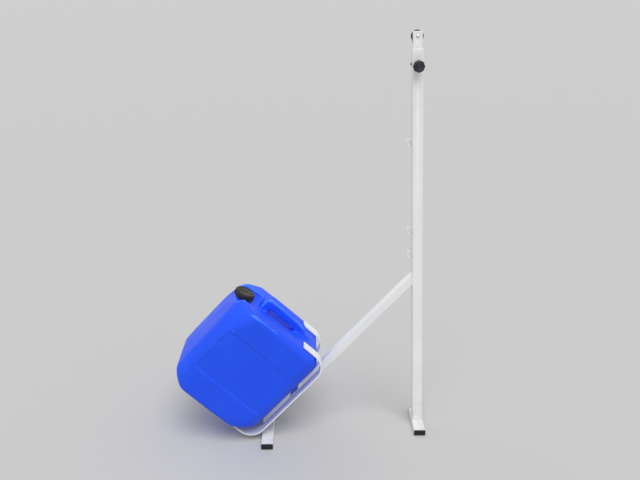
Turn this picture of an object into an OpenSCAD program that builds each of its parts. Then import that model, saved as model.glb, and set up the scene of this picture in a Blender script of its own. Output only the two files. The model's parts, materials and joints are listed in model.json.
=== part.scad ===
// Free-standing net post: a telescopic square-tube post with a brace, two foot bars
// and a cradle that holds a water canister as ballast.
// Millimetres, +Z up. The origin is on the floor under the post, the brace and the
// canister are on the -X side and the net leaves the post on the +X side.

/* [Post and mast] */
// Width of the square outer tube
post_size = 35; // [34:1:40]
// Wall of the square tubes
tube_wall = 2; // [1.5:0.25:2.25]
// Width of the square inner tube
mast_size = 30; // [26:1:30]
// Height of the outer tube's top above the floor
post_height = 1317; // [1100:1:1500]
// Gap between the foot bar and the inner tube's end at its lowest setting
mast_clearance = 8; // [7:1:600]
// How far the inner tube stands out of the outer tube at its lowest setting
mast_rise = 53; // [50:1:90]
// Lean of the post away from the net
lean_angle = 2.4; // [0:0.1:4]

/* [Brace and feet] */
// Width of the square brace tube
strut_size = 30; // [25:1:35]
// Angle of the brace above the floor
strut_angle = 47.2; // [42:0.1:55]
// Height at which the brace's axis meets the post's axis
strut_height = 583; // [500:1:650]
// Height of the brace's axis above the middle of its foot bar's top
strut_toe = 14; // [12:0.5:20]
// Width of the foot bars
foot_w = 40; // [36:1:50]
// Height of the foot bars
foot_h = 20; // [15:1:30]
// Length of the foot bar tube under the post
post_foot_length = 152; // [140:2:400]
// Length of the foot bar tube under the brace
strut_foot_length = 308; // [240:2:500]

/* [Cradle] */
// Width of the flat bar of the cradle
bar_w = 40; // [30:1:45]
// Thickness of the flat bar of the cradle
bar_t = 5; // [4:0.5:6]
// Distance from the middle plane to the middle of each cradle bar
bar_offset = 85; // [70:1:90]
// Clear length between the two hooks of a cradle bar
cradle_length = 380; // [379:0.5:390]
// Outer radius of the bends of a cradle bar
bend_radius = 58; // [50:1:65]
// Height of a hook's end above the brace's axis
hook_reach = 128; // [100:1:140]
// Distance from the post's axis to the upper hook's inner face, along the brace
cradle_start = 426; // [400:1:440]
// Width of the flat bar that crosses the brace
cross_bar_w = 40; // [30:1:50]

/* [Canister] */
// Height of the canister along the brace, without its handle
can_h = 378; // [370:1:379]
// Depth of the canister, square to the brace
can_d = 352; // [330:1:360]
// Thickness of the canister across the brace
can_w = 276; // [250:1:280]
// Distance from the brace's axis to the canister's back
can_standoff = 41; // [36:1:60]
// Radius of the canister's upright edges
can_edge_r = 60; // [50:1:70]
// Radius of the edges around the canister's top
can_top_r = 22; // [18:1:30]
// Radius of the edges around the canister's bottom
can_base_r = 30; // [22:1:40]
// How far the front swells past the flat depth
front_bulge = 9; // [4:1:14]
// How far the bottom swells past the flat height
floor_bulge = 8; // [4:1:12]
// Wall of the canister
can_wall = 3; // [2:0.5:4]
// Tilt of the filler neck towards the canister's front
neck_tilt = 16; // [10:1:18]
// Width of the handle
handle_w = 40; // [34:1:44]
// How far the handle stands above the canister's top
handle_rise = 26; // [24:1:32]
// Diameter of the screw cap
cap_d = 71; // [66:1:74]
// Height of the screw cap
cap_h = 22; // [19:1:23]

/* [Fittings] */
// Diameter of the cord sheave
sheave_d = 38; // [34:1:40]
// Diameter of the wire of the cord hooks
hook_wire = 4.5; // [4:0.5:5]
// Diameter over the lobes of the clamp knob
knob_d = 38; // [34:1:44]
// Number of lobes on the clamp knob
knob_lobes = 8; // [6:1:10]
// Height of the clamp knob above the floor
knob_height = 1267; // [1100:1:1280]

/* [Hidden] */

white = "whitesmoke";
black = [0.13, 0.13, 0.14];
blue = [0.13, 0.25, 0.93];
steel = [0.72, 0.73, 0.75];

tube_corner = 3;            // outer corner radius of the tubes
end_cap_flange = 4;         // thickness of an end cap outside its tube
end_cap_chamfer = 1.2;
end_cap_plug = 14;          // depth of an end cap's plug
end_cap_play = 3;           // gap all round the plug, which two ribs close
end_cap_rib = 2;
beyond = 200;               // reach of a block that trims a tube
post_len = post_height / cos(lean_angle);
mast_top = post_len + mast_rise;
mast_bottom = (foot_h + mast_clearance) / cos(lean_angle);
post_bore = post_size - 2 * tube_wall;
strut_pivot = [-strut_height * tan(lean_angle), 0, strut_height];
strut_foot_x = strut_pivot[0] - (strut_height - foot_h - strut_toe) / tan(strut_angle);

sheave_r = sheave_d / 2;
sheave_w = 10;
sheave_proud = 3;           // how far the sheave stands out of the mast's top
sheave_z = mast_top + sheave_proud - sheave_r;
pin_r = 4;
running_gap = 0.05;
spacer_gap = 0.3;
spacer_r = 7;
glide_depth = 18;
glide_foot = 5;
glide_wall = 3;

knob_len = knob_height / cos(lean_angle);
knob_hub_r = 8.5;
knob_hub_h = 6;
knob_body_h = 15;
guide_rise = 4;             // the guide screw sits this far above the knob's axis
guide_r = 2.5;
guide_hex_r = 1.7;
stud_hole_r = 4.5;
stud_r = 3.95;
nut_af = 14;
nut_h = 6.5;
knob_gap = 4;               // from the nut to the knob's hub
stud_grip = 14;             // how far the stud reaches into the knob
pad_t = 1.8;
pad_r = 3.7;
pad_face = -(post_size - mast_size) / 2 + running_gap;

bar_bottom = strut_size / 2;            // the flat bars lie level with the brace's top face
cross_bar_shift = 24;                   // from the middle of the cradle bars up the brace
hook_high = -cradle_start;              // inner face of the upper hook, along the brace
hook_low = -cradle_start - cradle_length;
can_base = (hook_high + hook_low) / 2 - can_h / 2;
can_mid = can_standoff + can_d / 2;

neck_x = -can_d / 2 + 20;
neck_z = can_h - 36;
neck_len = 20;
neck_r = 27;
neck_bore_r = 24;
cap_wall = 3;
seal_t = 2.5;

low_front_r = 84;           // side view: radii of the four corners
low_back_r = 62;
top_back_r = 46;
top_front_r = 66;
floor_swell_x = -66;        // middle of the swollen stretch of the bottom, and its length
floor_swell_l = 300;
front_swell_trim = 2;       // the front swells this much less across than along
shoulder_cut = [-143, -can_w / 2, can_h - 101];     // facets beside the neck: a point, then
shoulder_turn = 226;                                // the direction that they face
shoulder_lean = 16;
foot_cut = [can_d / 2, -can_w / 2, 67];             // facets at the back corners of the bottom
foot_turn = -45;
foot_lean = -38;
swell_gap = 1;              // a swollen or sloping side lies this far inside its rounded rectangle
top_fall = 16;              // the top falls this much towards the front
top_level_x = 30;           // and is level behind this point
platform_end = neck_x + 84; // where the sloping platform around the neck meets its riser
platform_tilt = 12;
platform_half = 64;
platform_r = 26;
trough_x0 = -72;            // finger trough under the handle
trough_x1 = 54;
trough_half = 60;
trough_depth = 18;
trough_r = 14;
handle_t = 24;              // thickness of the grip
handle_front = -96;
handle_front_r = 20;
handle_back = 118;
handle_fall = 42;           // length of the slope at its back
handle_edge_r = 9;
handle_root = 30;           // how deep its ends reach into the canister
gap_r = 8;                  // corners of the gap under the grip
panel_margin = 34;          // shallow field on each wide side
panel_depth = 2.5;
panel_z0 = 100;
panel_z1 = 278;
panel_r = 12;
neck_root = 8;              // how deep the neck starts inside the canister
bore_root = 20;

// ---- frames -------------------------------------------------------------------

// Z runs up along the leaning post from the floor
module on_post(along = 0) {
    rotate([0, -lean_angle, 0]) translate([0, 0, along]) children();
}

// X runs up along the brace from the post's axis, Z stands square on its top face
module on_strut(along = 0, above = 0) {
    translate(strut_pivot) rotate([0, -strut_angle, 0]) translate([along, 0, above]) children();
}

// Z runs up the canister from its bottom, -X is its front
module on_canister() {
    on_strut(can_base, can_mid) rotate([0, 90, 0]) children();
}

// Z leaves the filler neck
module on_neck(along = 0) {
    on_canister() translate([neck_x, 0, neck_z]) rotate([0, -neck_tilt, 0])
        translate([0, 0, along]) children();
}

// Z leaves the post's front face square to it, through the clamp nut
module on_clamp(out = 0) {
    on_post(knob_len) rotate([90, 0, 0]) translate([0, 0, post_size / 2 + out]) children();
}

// ---- shared shapes ------------------------------------------------------------

module rounded_rect(w, h, r) {
    square([w - 2 * r, h], center = true);
    square([w, h - 2 * r], center = true);
    for (x = [-1, 1], y = [-1, 1]) translate([x * (w / 2 - r), y * (h / 2 - r)]) circle(r = r, $fn = 32);
}

module tube(w, h, wall, length) {
    linear_extrude(height = length) difference() {
        rounded_rect(w, h, tube_corner);
        rounded_rect(w - 2 * wall, h - 2 * wall, tube_corner - wall + 0.2);
    }
}

module foot_bar(x, length) {
    translate([x, length / 2, foot_h / 2]) rotate([90, 0, 0]) tube(foot_w, foot_h, tube_wall, length);
}

// Plastic plug with a chamfered face and two sealing ribs, for the end of a foot bar
module end_cap(x, length, side) {
    translate([x, side * length / 2, foot_h / 2]) rotate([-90 * side, 0, 0]) {
        face_w = foot_w - 2 * end_cap_chamfer;
        face_h = foot_h - 2 * end_cap_chamfer;
        bore_w = foot_w - 2 * tube_wall;
        bore_h = foot_h - 2 * tube_wall;
        fit = 0.2;
        linear_extrude(height = end_cap_flange - end_cap_chamfer) rounded_rect(foot_w, foot_h, tube_corner);
        translate([0, 0, end_cap_flange - end_cap_chamfer])
            linear_extrude(height = end_cap_chamfer) rounded_rect(face_w, face_h, 2);
        translate([0, 0, -end_cap_plug]) linear_extrude(height = end_cap_plug)
            rounded_rect(bore_w - end_cap_play, bore_h - end_cap_play, 1);
        for (z = [1 - end_cap_plug, -3 * end_cap_rib]) translate([0, 0, z])
            linear_extrude(height = end_cap_rib) rounded_rect(bore_w - fit, bore_h - fit, 1);
    }
}

// ---- welded frame -------------------------------------------------------------

module post_foot_bar() {
    color(white) foot_bar(0, post_foot_length);
}

module strut_foot_bar() {
    color(white) foot_bar(strut_foot_x, strut_foot_length);
}

module post_foot_cap(side) {
    color(black) end_cap(0, post_foot_length, side);
}

module strut_foot_cap(side) {
    color(black) end_cap(strut_foot_x, strut_foot_length, side);
}

module post_tube() {
    color(white) difference() {
        on_post() tube(post_size, post_size, tube_wall, post_len);
        translate([-beyond / 2, -beyond / 2, foot_h - beyond]) cube(beyond);
        on_clamp(-2 * tube_wall) cylinder(r = stud_hole_r, h = 4 * tube_wall, $fn = 32);
        on_post(knob_len + guide_rise) rotate([0, -90, 0]) cylinder(r = guide_r, h = post_size, $fn = 32);
    }
}

module strut_tube() {
    strut_length = foot_w - strut_foot_x / cos(strut_angle);
    toe_x = strut_foot_x - foot_w / 2;
    color(white) difference() {
        on_strut(-strut_length) rotate([90, 0, 90]) tube(strut_size, strut_size, tube_wall, strut_length);
        translate([toe_x - beyond, -beyond / 2, -beyond / 2]) cube(beyond);
        translate([toe_x - beyond / 2, -beyond / 2, foot_h - beyond]) cube(beyond);
        on_post() translate([-post_size / 2, -post_size, 0]) cube([beyond, 2 * post_size, post_len]);
    }
}

// Quarter bend of flat bar about the Y axis, from angle a0 over a quarter turn
module bend(x, z, a0) {
    translate([x, bar_w / 2, z]) rotate([90, 0, 0]) rotate([0, 0, a0])
        rotate_extrude(angle = 90, $fn = 96) translate([bend_radius - bar_t, 0]) square([bar_t, bar_w]);
}

// Flat bar bent into a C that lies along the brace and grips the canister's ends
module cradle_bar(side) {
    low = hook_low - bar_t;
    high = hook_high + bar_t;
    run = bar_bottom + bend_radius;
    color(white) on_strut() translate([0, side * bar_offset, 0]) {
        translate([low + bend_radius, -bar_w / 2, bar_bottom])
            cube([high - low - 2 * bend_radius, bar_w, bar_t]);
        bend(low + bend_radius, run, 180);
        bend(high - bend_radius, run, 270);
        translate([low, -bar_w / 2, run]) cube([bar_t, bar_w, hook_reach - run]);
        translate([high - bar_t, -bar_w / 2, run]) cube([bar_t, bar_w, hook_reach - run]);
    }
}

module cradle_cross_bar() {
    span = 2 * bar_offset - bar_w;
    color(white) on_strut((hook_low + hook_high) / 2 + cross_bar_shift, bar_bottom)
        translate([-cross_bar_w / 2, -span / 2, 0]) cube([cross_bar_w, span, bar_t]);
}

// ---- cord hooks ---------------------------------------------------------------

// Piece of wire bent about (x, z), from angle a0 over a span of degrees
module wire_arc(x, z, r, a0, span) {
    translate([x, 0, z]) rotate([90, 0, 0]) rotate([0, 0, a0])
        rotate_extrude(angle = span, $fn = 64) translate([r, 0]) circle(d = hook_wire, $fn = 24);
}

module wire_rod(x, z, length, tilt) {
    translate([x, 0, z]) rotate([0, tilt, 0]) cylinder(d = hook_wire, h = length, $fn = 24);
}

hook_heights = [651, 734, 1024];        // above the floor
hook_half = 6;                          // half the width of a hook's eye, at the wire's middle
hook_drop = 4;                          // half the length of the eye's straight sides
hook_weld = hook_wire / 2 + 1;          // from the tube's face to the wire's middle
weld_pad = [hook_weld, 6, 10];

// Closed oval eye with its weld pad on the tube
module cord_eye(height) {
    color(white) on_post(height / cos(lean_angle)) translate([-post_size / 2 - hook_weld, 0, 0]) {
        wire_arc(-hook_half, hook_drop, hook_half, 0, 180);
        wire_arc(-hook_half, -hook_drop, hook_half, 180, 180);
        for (x = [0, -2 * hook_half]) wire_rod(x, -hook_drop, 2 * hook_drop, 0);
        translate([0, -weld_pad[1] / 2, -weld_pad[2] / 2]) cube(weld_pad);
    }
}

// Pigtail: the wire leaves the tube, rounds the eye and ends inside its own curl
module cord_pigtail(height) {
    curl = 3.6;
    sweep = 8.5;
    width = 2 * hook_half;
    color(white) on_post(height / cos(lean_angle)) translate([-post_size / 2 - hook_weld, 0, 0]) {
        wire_arc(-hook_half, hook_half, hook_half, 0, 180);
        wire_rod(-width, -hook_half, width, 0);
        wire_arc(sweep - width, -hook_half, sweep, 180, 90);
        wire_rod(sweep - width, -hook_half - sweep, width - sweep + hook_weld, 90);
        wire_rod(0, -hook_drop, hook_half + hook_drop, 0);
        wire_arc(-curl, -hook_drop, curl, 180, 180);
    }
}

// ---- clamp --------------------------------------------------------------------

module clamp_nut() {
    color(white) on_clamp() difference() {
        cylinder(d = nut_af / cos(30), h = nut_h, $fn = 6);
        translate([0, 0, -1]) cylinder(r = stud_r + running_gap, h = nut_h + 2, $fn = 48);
    }
}

module guide_screw() {
    color(black) on_post(knob_len + guide_rise) rotate([0, -90, 0]) {
        translate([0, 0, mast_size / 2 + 0.2]) cylinder(r = guide_r, h = 3, $fn = 32);
        difference() {
            translate([0, 0, post_size / 2]) rotate_extrude($fn = 48)
                polygon([[0, 0], [4.5, 0], [4.5, 1.4], [3.6, 2.6], [2.2, 3.2], [0, 3.4]]);
            translate([0, 0, post_size / 2 + 1.4]) cylinder(r = guide_hex_r, h = 4, $fn = 6);
        }
    }
}

module pressure_pad() {
    color(steel) on_clamp(pad_face) cylinder(r = pad_r, h = pad_t, $fn = 48);
}

module clamp_stud() {
    start = pad_face + pad_t + running_gap;
    color(steel) on_clamp(start) cylinder(r = stud_r, h = nut_h + knob_gap + stud_grip - start, $fn = 48);
}

module clamp_knob() {
    lobe_r = knob_d * 0.115;
    body_h = knob_body_h;
    color(black) on_clamp(nut_h + knob_gap) difference() {
        union() {
            cylinder(r = knob_hub_r, h = knob_hub_h + 1, $fn = 48);
            translate([0, 0, knob_hub_h]) intersection() {
                linear_extrude(height = body_h) union() {
                    circle(r = knob_d / 2 - lobe_r * 0.9, $fn = 64);
                    for (i = [0:knob_lobes - 1]) rotate(i * 360 / knob_lobes)
                        translate([knob_d / 2 - lobe_r, 0]) circle(r = lobe_r, $fn = 32);
                }
                rotate_extrude($fn = 96) polygon([
                    [0, 0], [knob_d / 2 - 2, 0], [knob_d / 2, 2], [knob_d / 2, body_h * 0.62],
                    [knob_d / 2 - 1.6, body_h * 0.82], [knob_d / 2 - 5, body_h * 0.95],
                    [knob_d / 4, body_h], [0, body_h]
                ]);
            }
        }
        translate([0, 0, -1]) cylinder(r = stud_r, h = stud_grip + 1, $fn = 48);
    }
}

// ---- mast ---------------------------------------------------------------------

module mast_tube() {
    slot_w = sheave_w + 2;
    slot_h = mast_top - sheave_z + sheave_r - 4;
    across = 2 * mast_size;
    color(white) difference() {
        on_post(mast_bottom) tube(mast_size, mast_size, tube_wall, mast_top - mast_bottom);
        on_post(mast_top - slot_h) translate([-mast_size, -slot_w / 2, 0]) cube([across, slot_w, slot_h + 1]);
        on_post(mast_top - slot_h) rotate([0, 90, 0]) cylinder(d = slot_w, h = across, center = true, $fn = 48);
        on_post(sheave_z) rotate([90, 0, 0]) cylinder(r = pin_r, h = across, center = true, $fn = 48);
    }
}

// Plastic foot that fills the mast's lower end and centres it in the post
module mast_glide() {
    outer = post_bore - 0.6;
    inner = mast_size - 2 * tube_wall - 0.2;
    color(black) on_post(mast_bottom) {
        translate([0, 0, -glide_foot]) linear_extrude(height = glide_foot) rounded_rect(outer, outer, 2);
        linear_extrude(height = glide_depth) difference() {
            rounded_rect(inner, inner, 1.5);
            circle(r = inner / 2 - glide_wall, $fn = 48);
        }
    }
}

module sheave_pin() {
    color(steel) on_post(sheave_z) rotate([90, 0, 0]) {
        cylinder(r = pin_r, h = mast_size, center = true, $fn = 48);
        for (side = [-1, 1]) rotate([side * 90 - 90, 0, 0]) translate([0, 0, mast_size / 2])
            rotate_extrude($fn = 48) polygon([[0, 0], [5.5, 0], [5.2, 0.9], [3.8, 1.7], [0, 2]]);
    }
}

module sheave_spacer(side) {
    thick = mast_size / 2 - tube_wall - sheave_w / 2 - spacer_gap;
    color(steel) on_post(sheave_z) rotate([-side * 90, 0, 0]) translate([0, 0, sheave_w / 2 + spacer_gap])
        difference() {
            cylinder(r = spacer_r, h = thick, $fn = 48);
            translate([0, 0, -1]) cylinder(r = pin_r, h = thick + 2, $fn = 48);
        }
}

// Grooved cord wheel with a hub and a thin web
module sheave() {
    half = sheave_w / 2;
    color(black) on_post(sheave_z) rotate([90, 0, 0]) rotate_extrude($fn = 96) difference() {
        polygon([
            [pin_r + running_gap, -half], [sheave_r - 0.8, -half], [sheave_r, -half + 0.8],
            [sheave_r - 4.6, -1.6], [sheave_r - 5.4, 0], [sheave_r - 4.6, 1.6],
            [sheave_r, half - 0.8], [sheave_r - 0.8, half], [pin_r + running_gap, half]
        ]);
        for (y = [-1, 1]) translate([7.4, y * (half - 0.5) - 0.75]) square([4, 1.5]);
    }
}

// ---- canister -----------------------------------------------------------------

// Radius of an arc that rises by sag over a chord
function arc_radius(chord, sag) = (chord * chord / 4 + sag * sag) / (2 * sag);

// What a corner's rounding takes off, for a corner at the origin of the first quadrant
module corner_waste(r) {
    difference() {
        translate([-1, -1]) square(r + 1);
        translate([r, r]) circle(r = r, $fn = 96);
    }
}

// Rectangle from (x0, z0) to (x1, z1) with its own radius at each corner
module outline(x0, x1, z0, z1, r_low_front, r_low_back, r_top_back, r_top_front) {
    difference() {
        translate([x0, z0]) square([x1 - x0, z1 - z0]);
        translate([x0, z0]) corner_waste(r_low_front);
        translate([x1, z0]) mirror([1, 0]) corner_waste(r_low_back);
        translate([x1, z1]) rotate(180) corner_waste(r_top_back);
        translate([x0, z1]) mirror([0, 1]) corner_waste(r_top_front);
    }
}

// Side view: flat where the cradle holds it, swollen at the front and the bottom
module can_side(inset) {
    x0 = -can_d / 2 - front_bulge;
    long = can_d;
    front_r = arc_radius(can_h, front_bulge);
    floor_r = arc_radius(floor_swell_l, floor_bulge);
    slope = top_fall / (top_level_x - x0);
    intersection() {
        outline(x0 - swell_gap + inset, can_d / 2 - inset,
            inset - floor_bulge - swell_gap, can_h + swell_gap - inset,
            low_front_r - inset, low_back_r - inset, top_back_r - inset, top_front_r - inset);
        translate([x0 + front_r, can_h / 2]) circle(r = front_r - inset, $fn = 360);
        polygon([
            [top_level_x - long, can_h - slope * long - inset], [top_level_x, can_h - inset],
            [long, can_h - inset], [long, -long], [top_level_x - long, -long]
        ]);
        union() {
            translate([-long, inset]) square([2 * long, can_h]);
            translate([floor_swell_x, floor_r - floor_bulge]) circle(r = floor_r - inset, $fn = 360);
        }
    }
}

// Plan view: square back, swollen front
module can_plan(inset) {
    x0 = -can_d / 2 - front_bulge;
    r = can_edge_r - inset;
    front_r = arc_radius(can_w - can_edge_r, front_bulge - front_swell_trim);
    intersection() {
        outline(x0 - swell_gap + inset, can_d / 2 - inset, inset - can_w / 2, can_w / 2 - inset, r, r, r, r);
        translate([x0 + front_r, 0]) circle(r = front_r - inset, $fn = 360);
    }
}

// Front view
module can_front(inset) {
    base_r = can_base_r - inset;
    top_r = can_top_r - inset;
    outline(inset - can_w / 2, can_w / 2 - inset, inset - floor_bulge - swell_gap, can_h + swell_gap - inset,
        base_r, base_r, top_r, top_r);
}

// The closed form without handle and neck, drawn in by inset on every side
module can_form(inset) {
    long = 4 * can_h;
    intersection() {
        linear_extrude(height = long, center = true) can_plan(inset);
        rotate([90, 0, 0]) linear_extrude(height = long, center = true) can_side(inset);
        rotate([90, 0, 90]) linear_extrude(height = long, center = true) can_front(inset);
    }
}

// Recess that holds the neck's sloping platform, up to the riser in front of the handle
module platform_cut(grow) {
    slope = tan(platform_tilt);
    front = -can_d;
    up = platform_half;
    riser_x = platform_end + (sqrt(2) - 1) * grow;
    riser_z = neck_z + (platform_end - neck_x) * slope - grow;
    width = platform_end + up - front;
    intersection() {
        rotate([90, 0, 0]) linear_extrude(height = 2 * can_w, center = true) polygon([
            [front, riser_z - (riser_x - front) * slope], [riser_x, riser_z],
            [riser_x + up, riser_z + up], [front, riser_z + up]
        ]);
        translate([front + width / 2, 0, 0]) linear_extrude(height = 2 * can_h)
            rounded_rect(width, 2 * (platform_half + grow), platform_r + grow);
    }
}

// Finger trough under the handle
module trough(grow) {
    translate([(trough_x0 + trough_x1) / 2, 0, can_h - trough_depth - grow])
        linear_extrude(height = can_h)
            rounded_rect(trough_x1 - trough_x0 + 2 * grow, 2 * (trough_half + grow), trough_r + grow);
}

// Shallow field on both wide sides
module side_panels(grow) {
    r = panel_r + grow;
    thick = can_w / 4;
    for (side = [-1, 1])
        translate([0, side * (can_w / 2 - panel_depth - grow + thick / 2), 0])
            rotate([90, 0, 0]) linear_extrude(height = thick, center = true)
                outline(panel_margin - can_d / 2 - grow, can_d / 2 - panel_margin + grow,
                    panel_z0 - grow, panel_z1 + grow, r, r, r, r);
}

// Flat facets that take off a pair of corners beyond a point
module facet_cut(point, turn, lean, grow) {
    reach = can_h;
    for (side = [0, 1]) mirror([0, side, 0]) translate(point) rotate([0, -lean, turn])
        translate([-grow, -reach, -reach]) cube([reach, 2 * reach, 2 * reach]);
}

module can_skin(inset) {
    difference() {
        can_form(inset);
        facet_cut(shoulder_cut, shoulder_turn, shoulder_lean, inset);
        facet_cut(foot_cut, foot_turn, foot_lean, inset);
        platform_cut(inset);
        trough(inset);
        side_panels(inset);
    }
}

// Side view of the handle: steep at the front, level grip, long slope at the back
module handle_side() {
    top = can_h + handle_rise;
    root = can_h - handle_root;
    r = handle_front_r;
    difference() {
        union() {
            translate([handle_front + r, top - r]) circle(r = r, $fn = 64);
            polygon([
                [handle_front, root], [handle_front, top - r], [handle_front + r, top],
                [handle_back - 1.3 * handle_fall, top], [handle_back - handle_fall, top - 3],
                [handle_back, can_h - 4], [handle_back, root]
            ]);
        }
        outline(trough_x0 + gap_r, trough_x1 - gap_r, root - handle_root, top - handle_t,
            gap_r, gap_r, gap_r, gap_r);
    }
}

module handle_bar() {
    width = handle_back - handle_front;
    height = 3 * handle_w;
    intersection() {
        rotate([90, 0, 0]) linear_extrude(height = handle_w, center = true) handle_side();
        translate([handle_front, 0, can_h + handle_rise - height / 2]) rotate([90, 0, 90])
            linear_extrude(height = width) rounded_rect(handle_w, height, handle_edge_r);
    }
}

module canister_body() {
    color(blue) difference() {
        union() {
            on_canister() can_skin(0);
            on_canister() handle_bar();
            on_neck(-neck_root) cylinder(r = neck_r, h = neck_len + neck_root, $fn = 64);
        }
        on_canister() can_skin(can_wall);
        on_neck(-bore_root) cylinder(r = neck_bore_r, h = neck_len + 2 * bore_root, $fn = 64);
    }
}

// Flat rubber ring that the cap presses on the neck's lip
module cap_seal() {
    color("gray") on_neck(neck_len + running_gap) difference() {
        cylinder(r = neck_r, h = seal_t, $fn = 64);
        translate([0, 0, -1]) cylinder(r = neck_bore_r, h = seal_t + 2, $fn = 64);
    }
}

module canister_cap() {
    ribs = 24;
    color(black) on_neck(neck_len + running_gap + seal_t + cap_wall - cap_h) difference() {
        union() {
            rotate_extrude($fn = 96) polygon([
                [0, 0], [cap_d / 2 - 1.6, 0], [cap_d / 2 - 1.6, cap_h - 3],
                [cap_d / 2 - 4, cap_h], [0, cap_h]
            ]);
            for (i = [0:ribs - 1]) rotate(i * 360 / ribs) translate([cap_d / 2 - 1.7, 0, 1])
                cylinder(r = 1.7, h = cap_h - 5, $fn = 16);
        }
        translate([0, 0, -1]) cylinder(r = neck_r + 0.4, h = cap_h - cap_wall + 1, $fn = 64);
        translate([0, 0, cap_h - 1.2]) difference() {
            cylinder(r = cap_d / 2 - 9, h = 2, $fn = 64);
            translate([-cap_d / 2, -4, -1]) cube([cap_d, 8, 4]);
        }
    }
}

// ---- nodes --------------------------------------------------------------------

post_foot_bar();
post_foot_cap(-1);  // post_foot_cap_near
post_foot_cap(1);  // post_foot_cap_far
strut_foot_bar();
strut_foot_cap(-1);  // strut_foot_cap_near
strut_foot_cap(1);  // strut_foot_cap_far
post_tube();
strut_tube();
cradle_bar(-1);  // cradle_bar_near
cradle_bar(1);  // cradle_bar_far
cradle_cross_bar();
cord_pigtail(hook_heights[2]);  // cord_hook_upper
cord_eye(hook_heights[1]);  // cord_hook_middle
cord_eye(hook_heights[0]);  // cord_hook_lower
clamp_nut();
guide_screw();
mast_tube();
mast_glide();
sheave_pin();
sheave_spacer(-1);  // sheave_spacer_near
sheave_spacer(1);  // sheave_spacer_far
sheave();
pressure_pad();
clamp_stud();
clamp_knob();
canister_body();
cap_seal();
canister_cap();
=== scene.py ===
"""Visual model of a ballasted net post: painted steel, a blow-moulded canister and its fittings.

Everything is in metres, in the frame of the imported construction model.
"""

import json
import math

import bmesh
import bpy
import numpy as np
from bpy.props import FloatProperty, FloatVectorProperty, IntProperty, PointerProperty
from mathutils import Matrix, Vector


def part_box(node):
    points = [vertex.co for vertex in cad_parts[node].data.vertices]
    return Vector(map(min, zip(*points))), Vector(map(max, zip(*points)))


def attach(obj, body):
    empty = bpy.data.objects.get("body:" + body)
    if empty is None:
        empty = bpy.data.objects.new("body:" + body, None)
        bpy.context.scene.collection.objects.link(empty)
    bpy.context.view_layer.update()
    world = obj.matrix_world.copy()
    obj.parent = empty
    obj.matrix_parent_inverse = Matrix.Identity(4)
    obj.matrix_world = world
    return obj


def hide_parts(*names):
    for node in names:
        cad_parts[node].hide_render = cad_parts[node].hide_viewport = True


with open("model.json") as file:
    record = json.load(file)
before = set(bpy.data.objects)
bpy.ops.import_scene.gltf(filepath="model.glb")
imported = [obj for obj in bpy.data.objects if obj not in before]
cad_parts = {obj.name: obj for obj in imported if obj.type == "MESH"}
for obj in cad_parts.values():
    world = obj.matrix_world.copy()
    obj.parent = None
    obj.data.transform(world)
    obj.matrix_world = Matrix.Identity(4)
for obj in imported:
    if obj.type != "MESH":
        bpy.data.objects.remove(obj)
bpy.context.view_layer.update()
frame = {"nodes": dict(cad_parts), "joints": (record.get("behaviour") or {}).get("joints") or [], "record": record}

bl_info = {
    "name": "Ballasted net post",
    "version": (1, 0, 0),
    "blender": (4, 5, 0),
    "location": "View3D > Sidebar > Net post",
    "description": "Builds the visual pieces, finishes and stage of a ballasted net post",
    "category": "Object",
}

PAGE_WIDTH = 640
SENSOR_WIDTH = 36.0
VIEW_REACH = 3000
KEY_FROM = (0.10, -0.52, 0.88)
RIM_FROM = (-0.60, 0.70, 0.80)

ALONG_FLOOR = Vector((1, 0, 0))
ACROSS = Vector((0, 1, 0))
UPRIGHT = Vector((0, 0, 1))
JOINTS = {joint["name"]: joint for joint in frame["joints"]}
POST_UP = Vector(JOINTS["mast_slide"]["axis"])
POST_OUT = Vector((POST_UP.z, 0, -POST_UP.x))
LIFT = Vector(JOINTS["canister_lift"]["axis"])
BRACE_UP = Vector((LIFT.z, 0, -LIFT.x))
NECK_FOOT = Vector(JOINTS["cap_turn"]["pos_m"])
NECK_UP = Vector(JOINTS["cap_turn"]["axis"])
KNOB_FOOT = Vector(JOINTS["knob_turn"]["pos_m"])

# Height of each cord hook over the floor, and where its welds lie along the post from there
HOOKS = {"upper": (1.024, (-0.0145,)), "middle": (0.734, (-0.005, 0.005)), "lower": (0.651, (-0.005, 0.005))}


# ---- sizes and colours ---------------------------------------------------------


def length(name, description, default, low=0.0001, high=3.0):
    """A size in metres."""
    return FloatProperty(
        name=name, description=description, default=default, min=low, max=high, unit="LENGTH", precision=4
    )


def degrees(name, description, default):
    """An angle, given in degrees."""
    return FloatProperty(name=name, description=description, default=math.radians(default), subtype="ANGLE")


def brightness(name, description, default):
    """A light's strength."""
    return FloatProperty(name=name, description=description, default=default, min=0)


def colour(name, description, default):
    """A linear colour."""
    return FloatVectorProperty(
        name=name, description=description, default=default, size=3, min=0, max=1, subtype="COLOR"
    )


def share(name, description, default):
    """A share from nothing to all."""
    return FloatProperty(
        name=name, description=description, default=default, min=0, max=1, subtype="FACTOR"
    )


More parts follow.
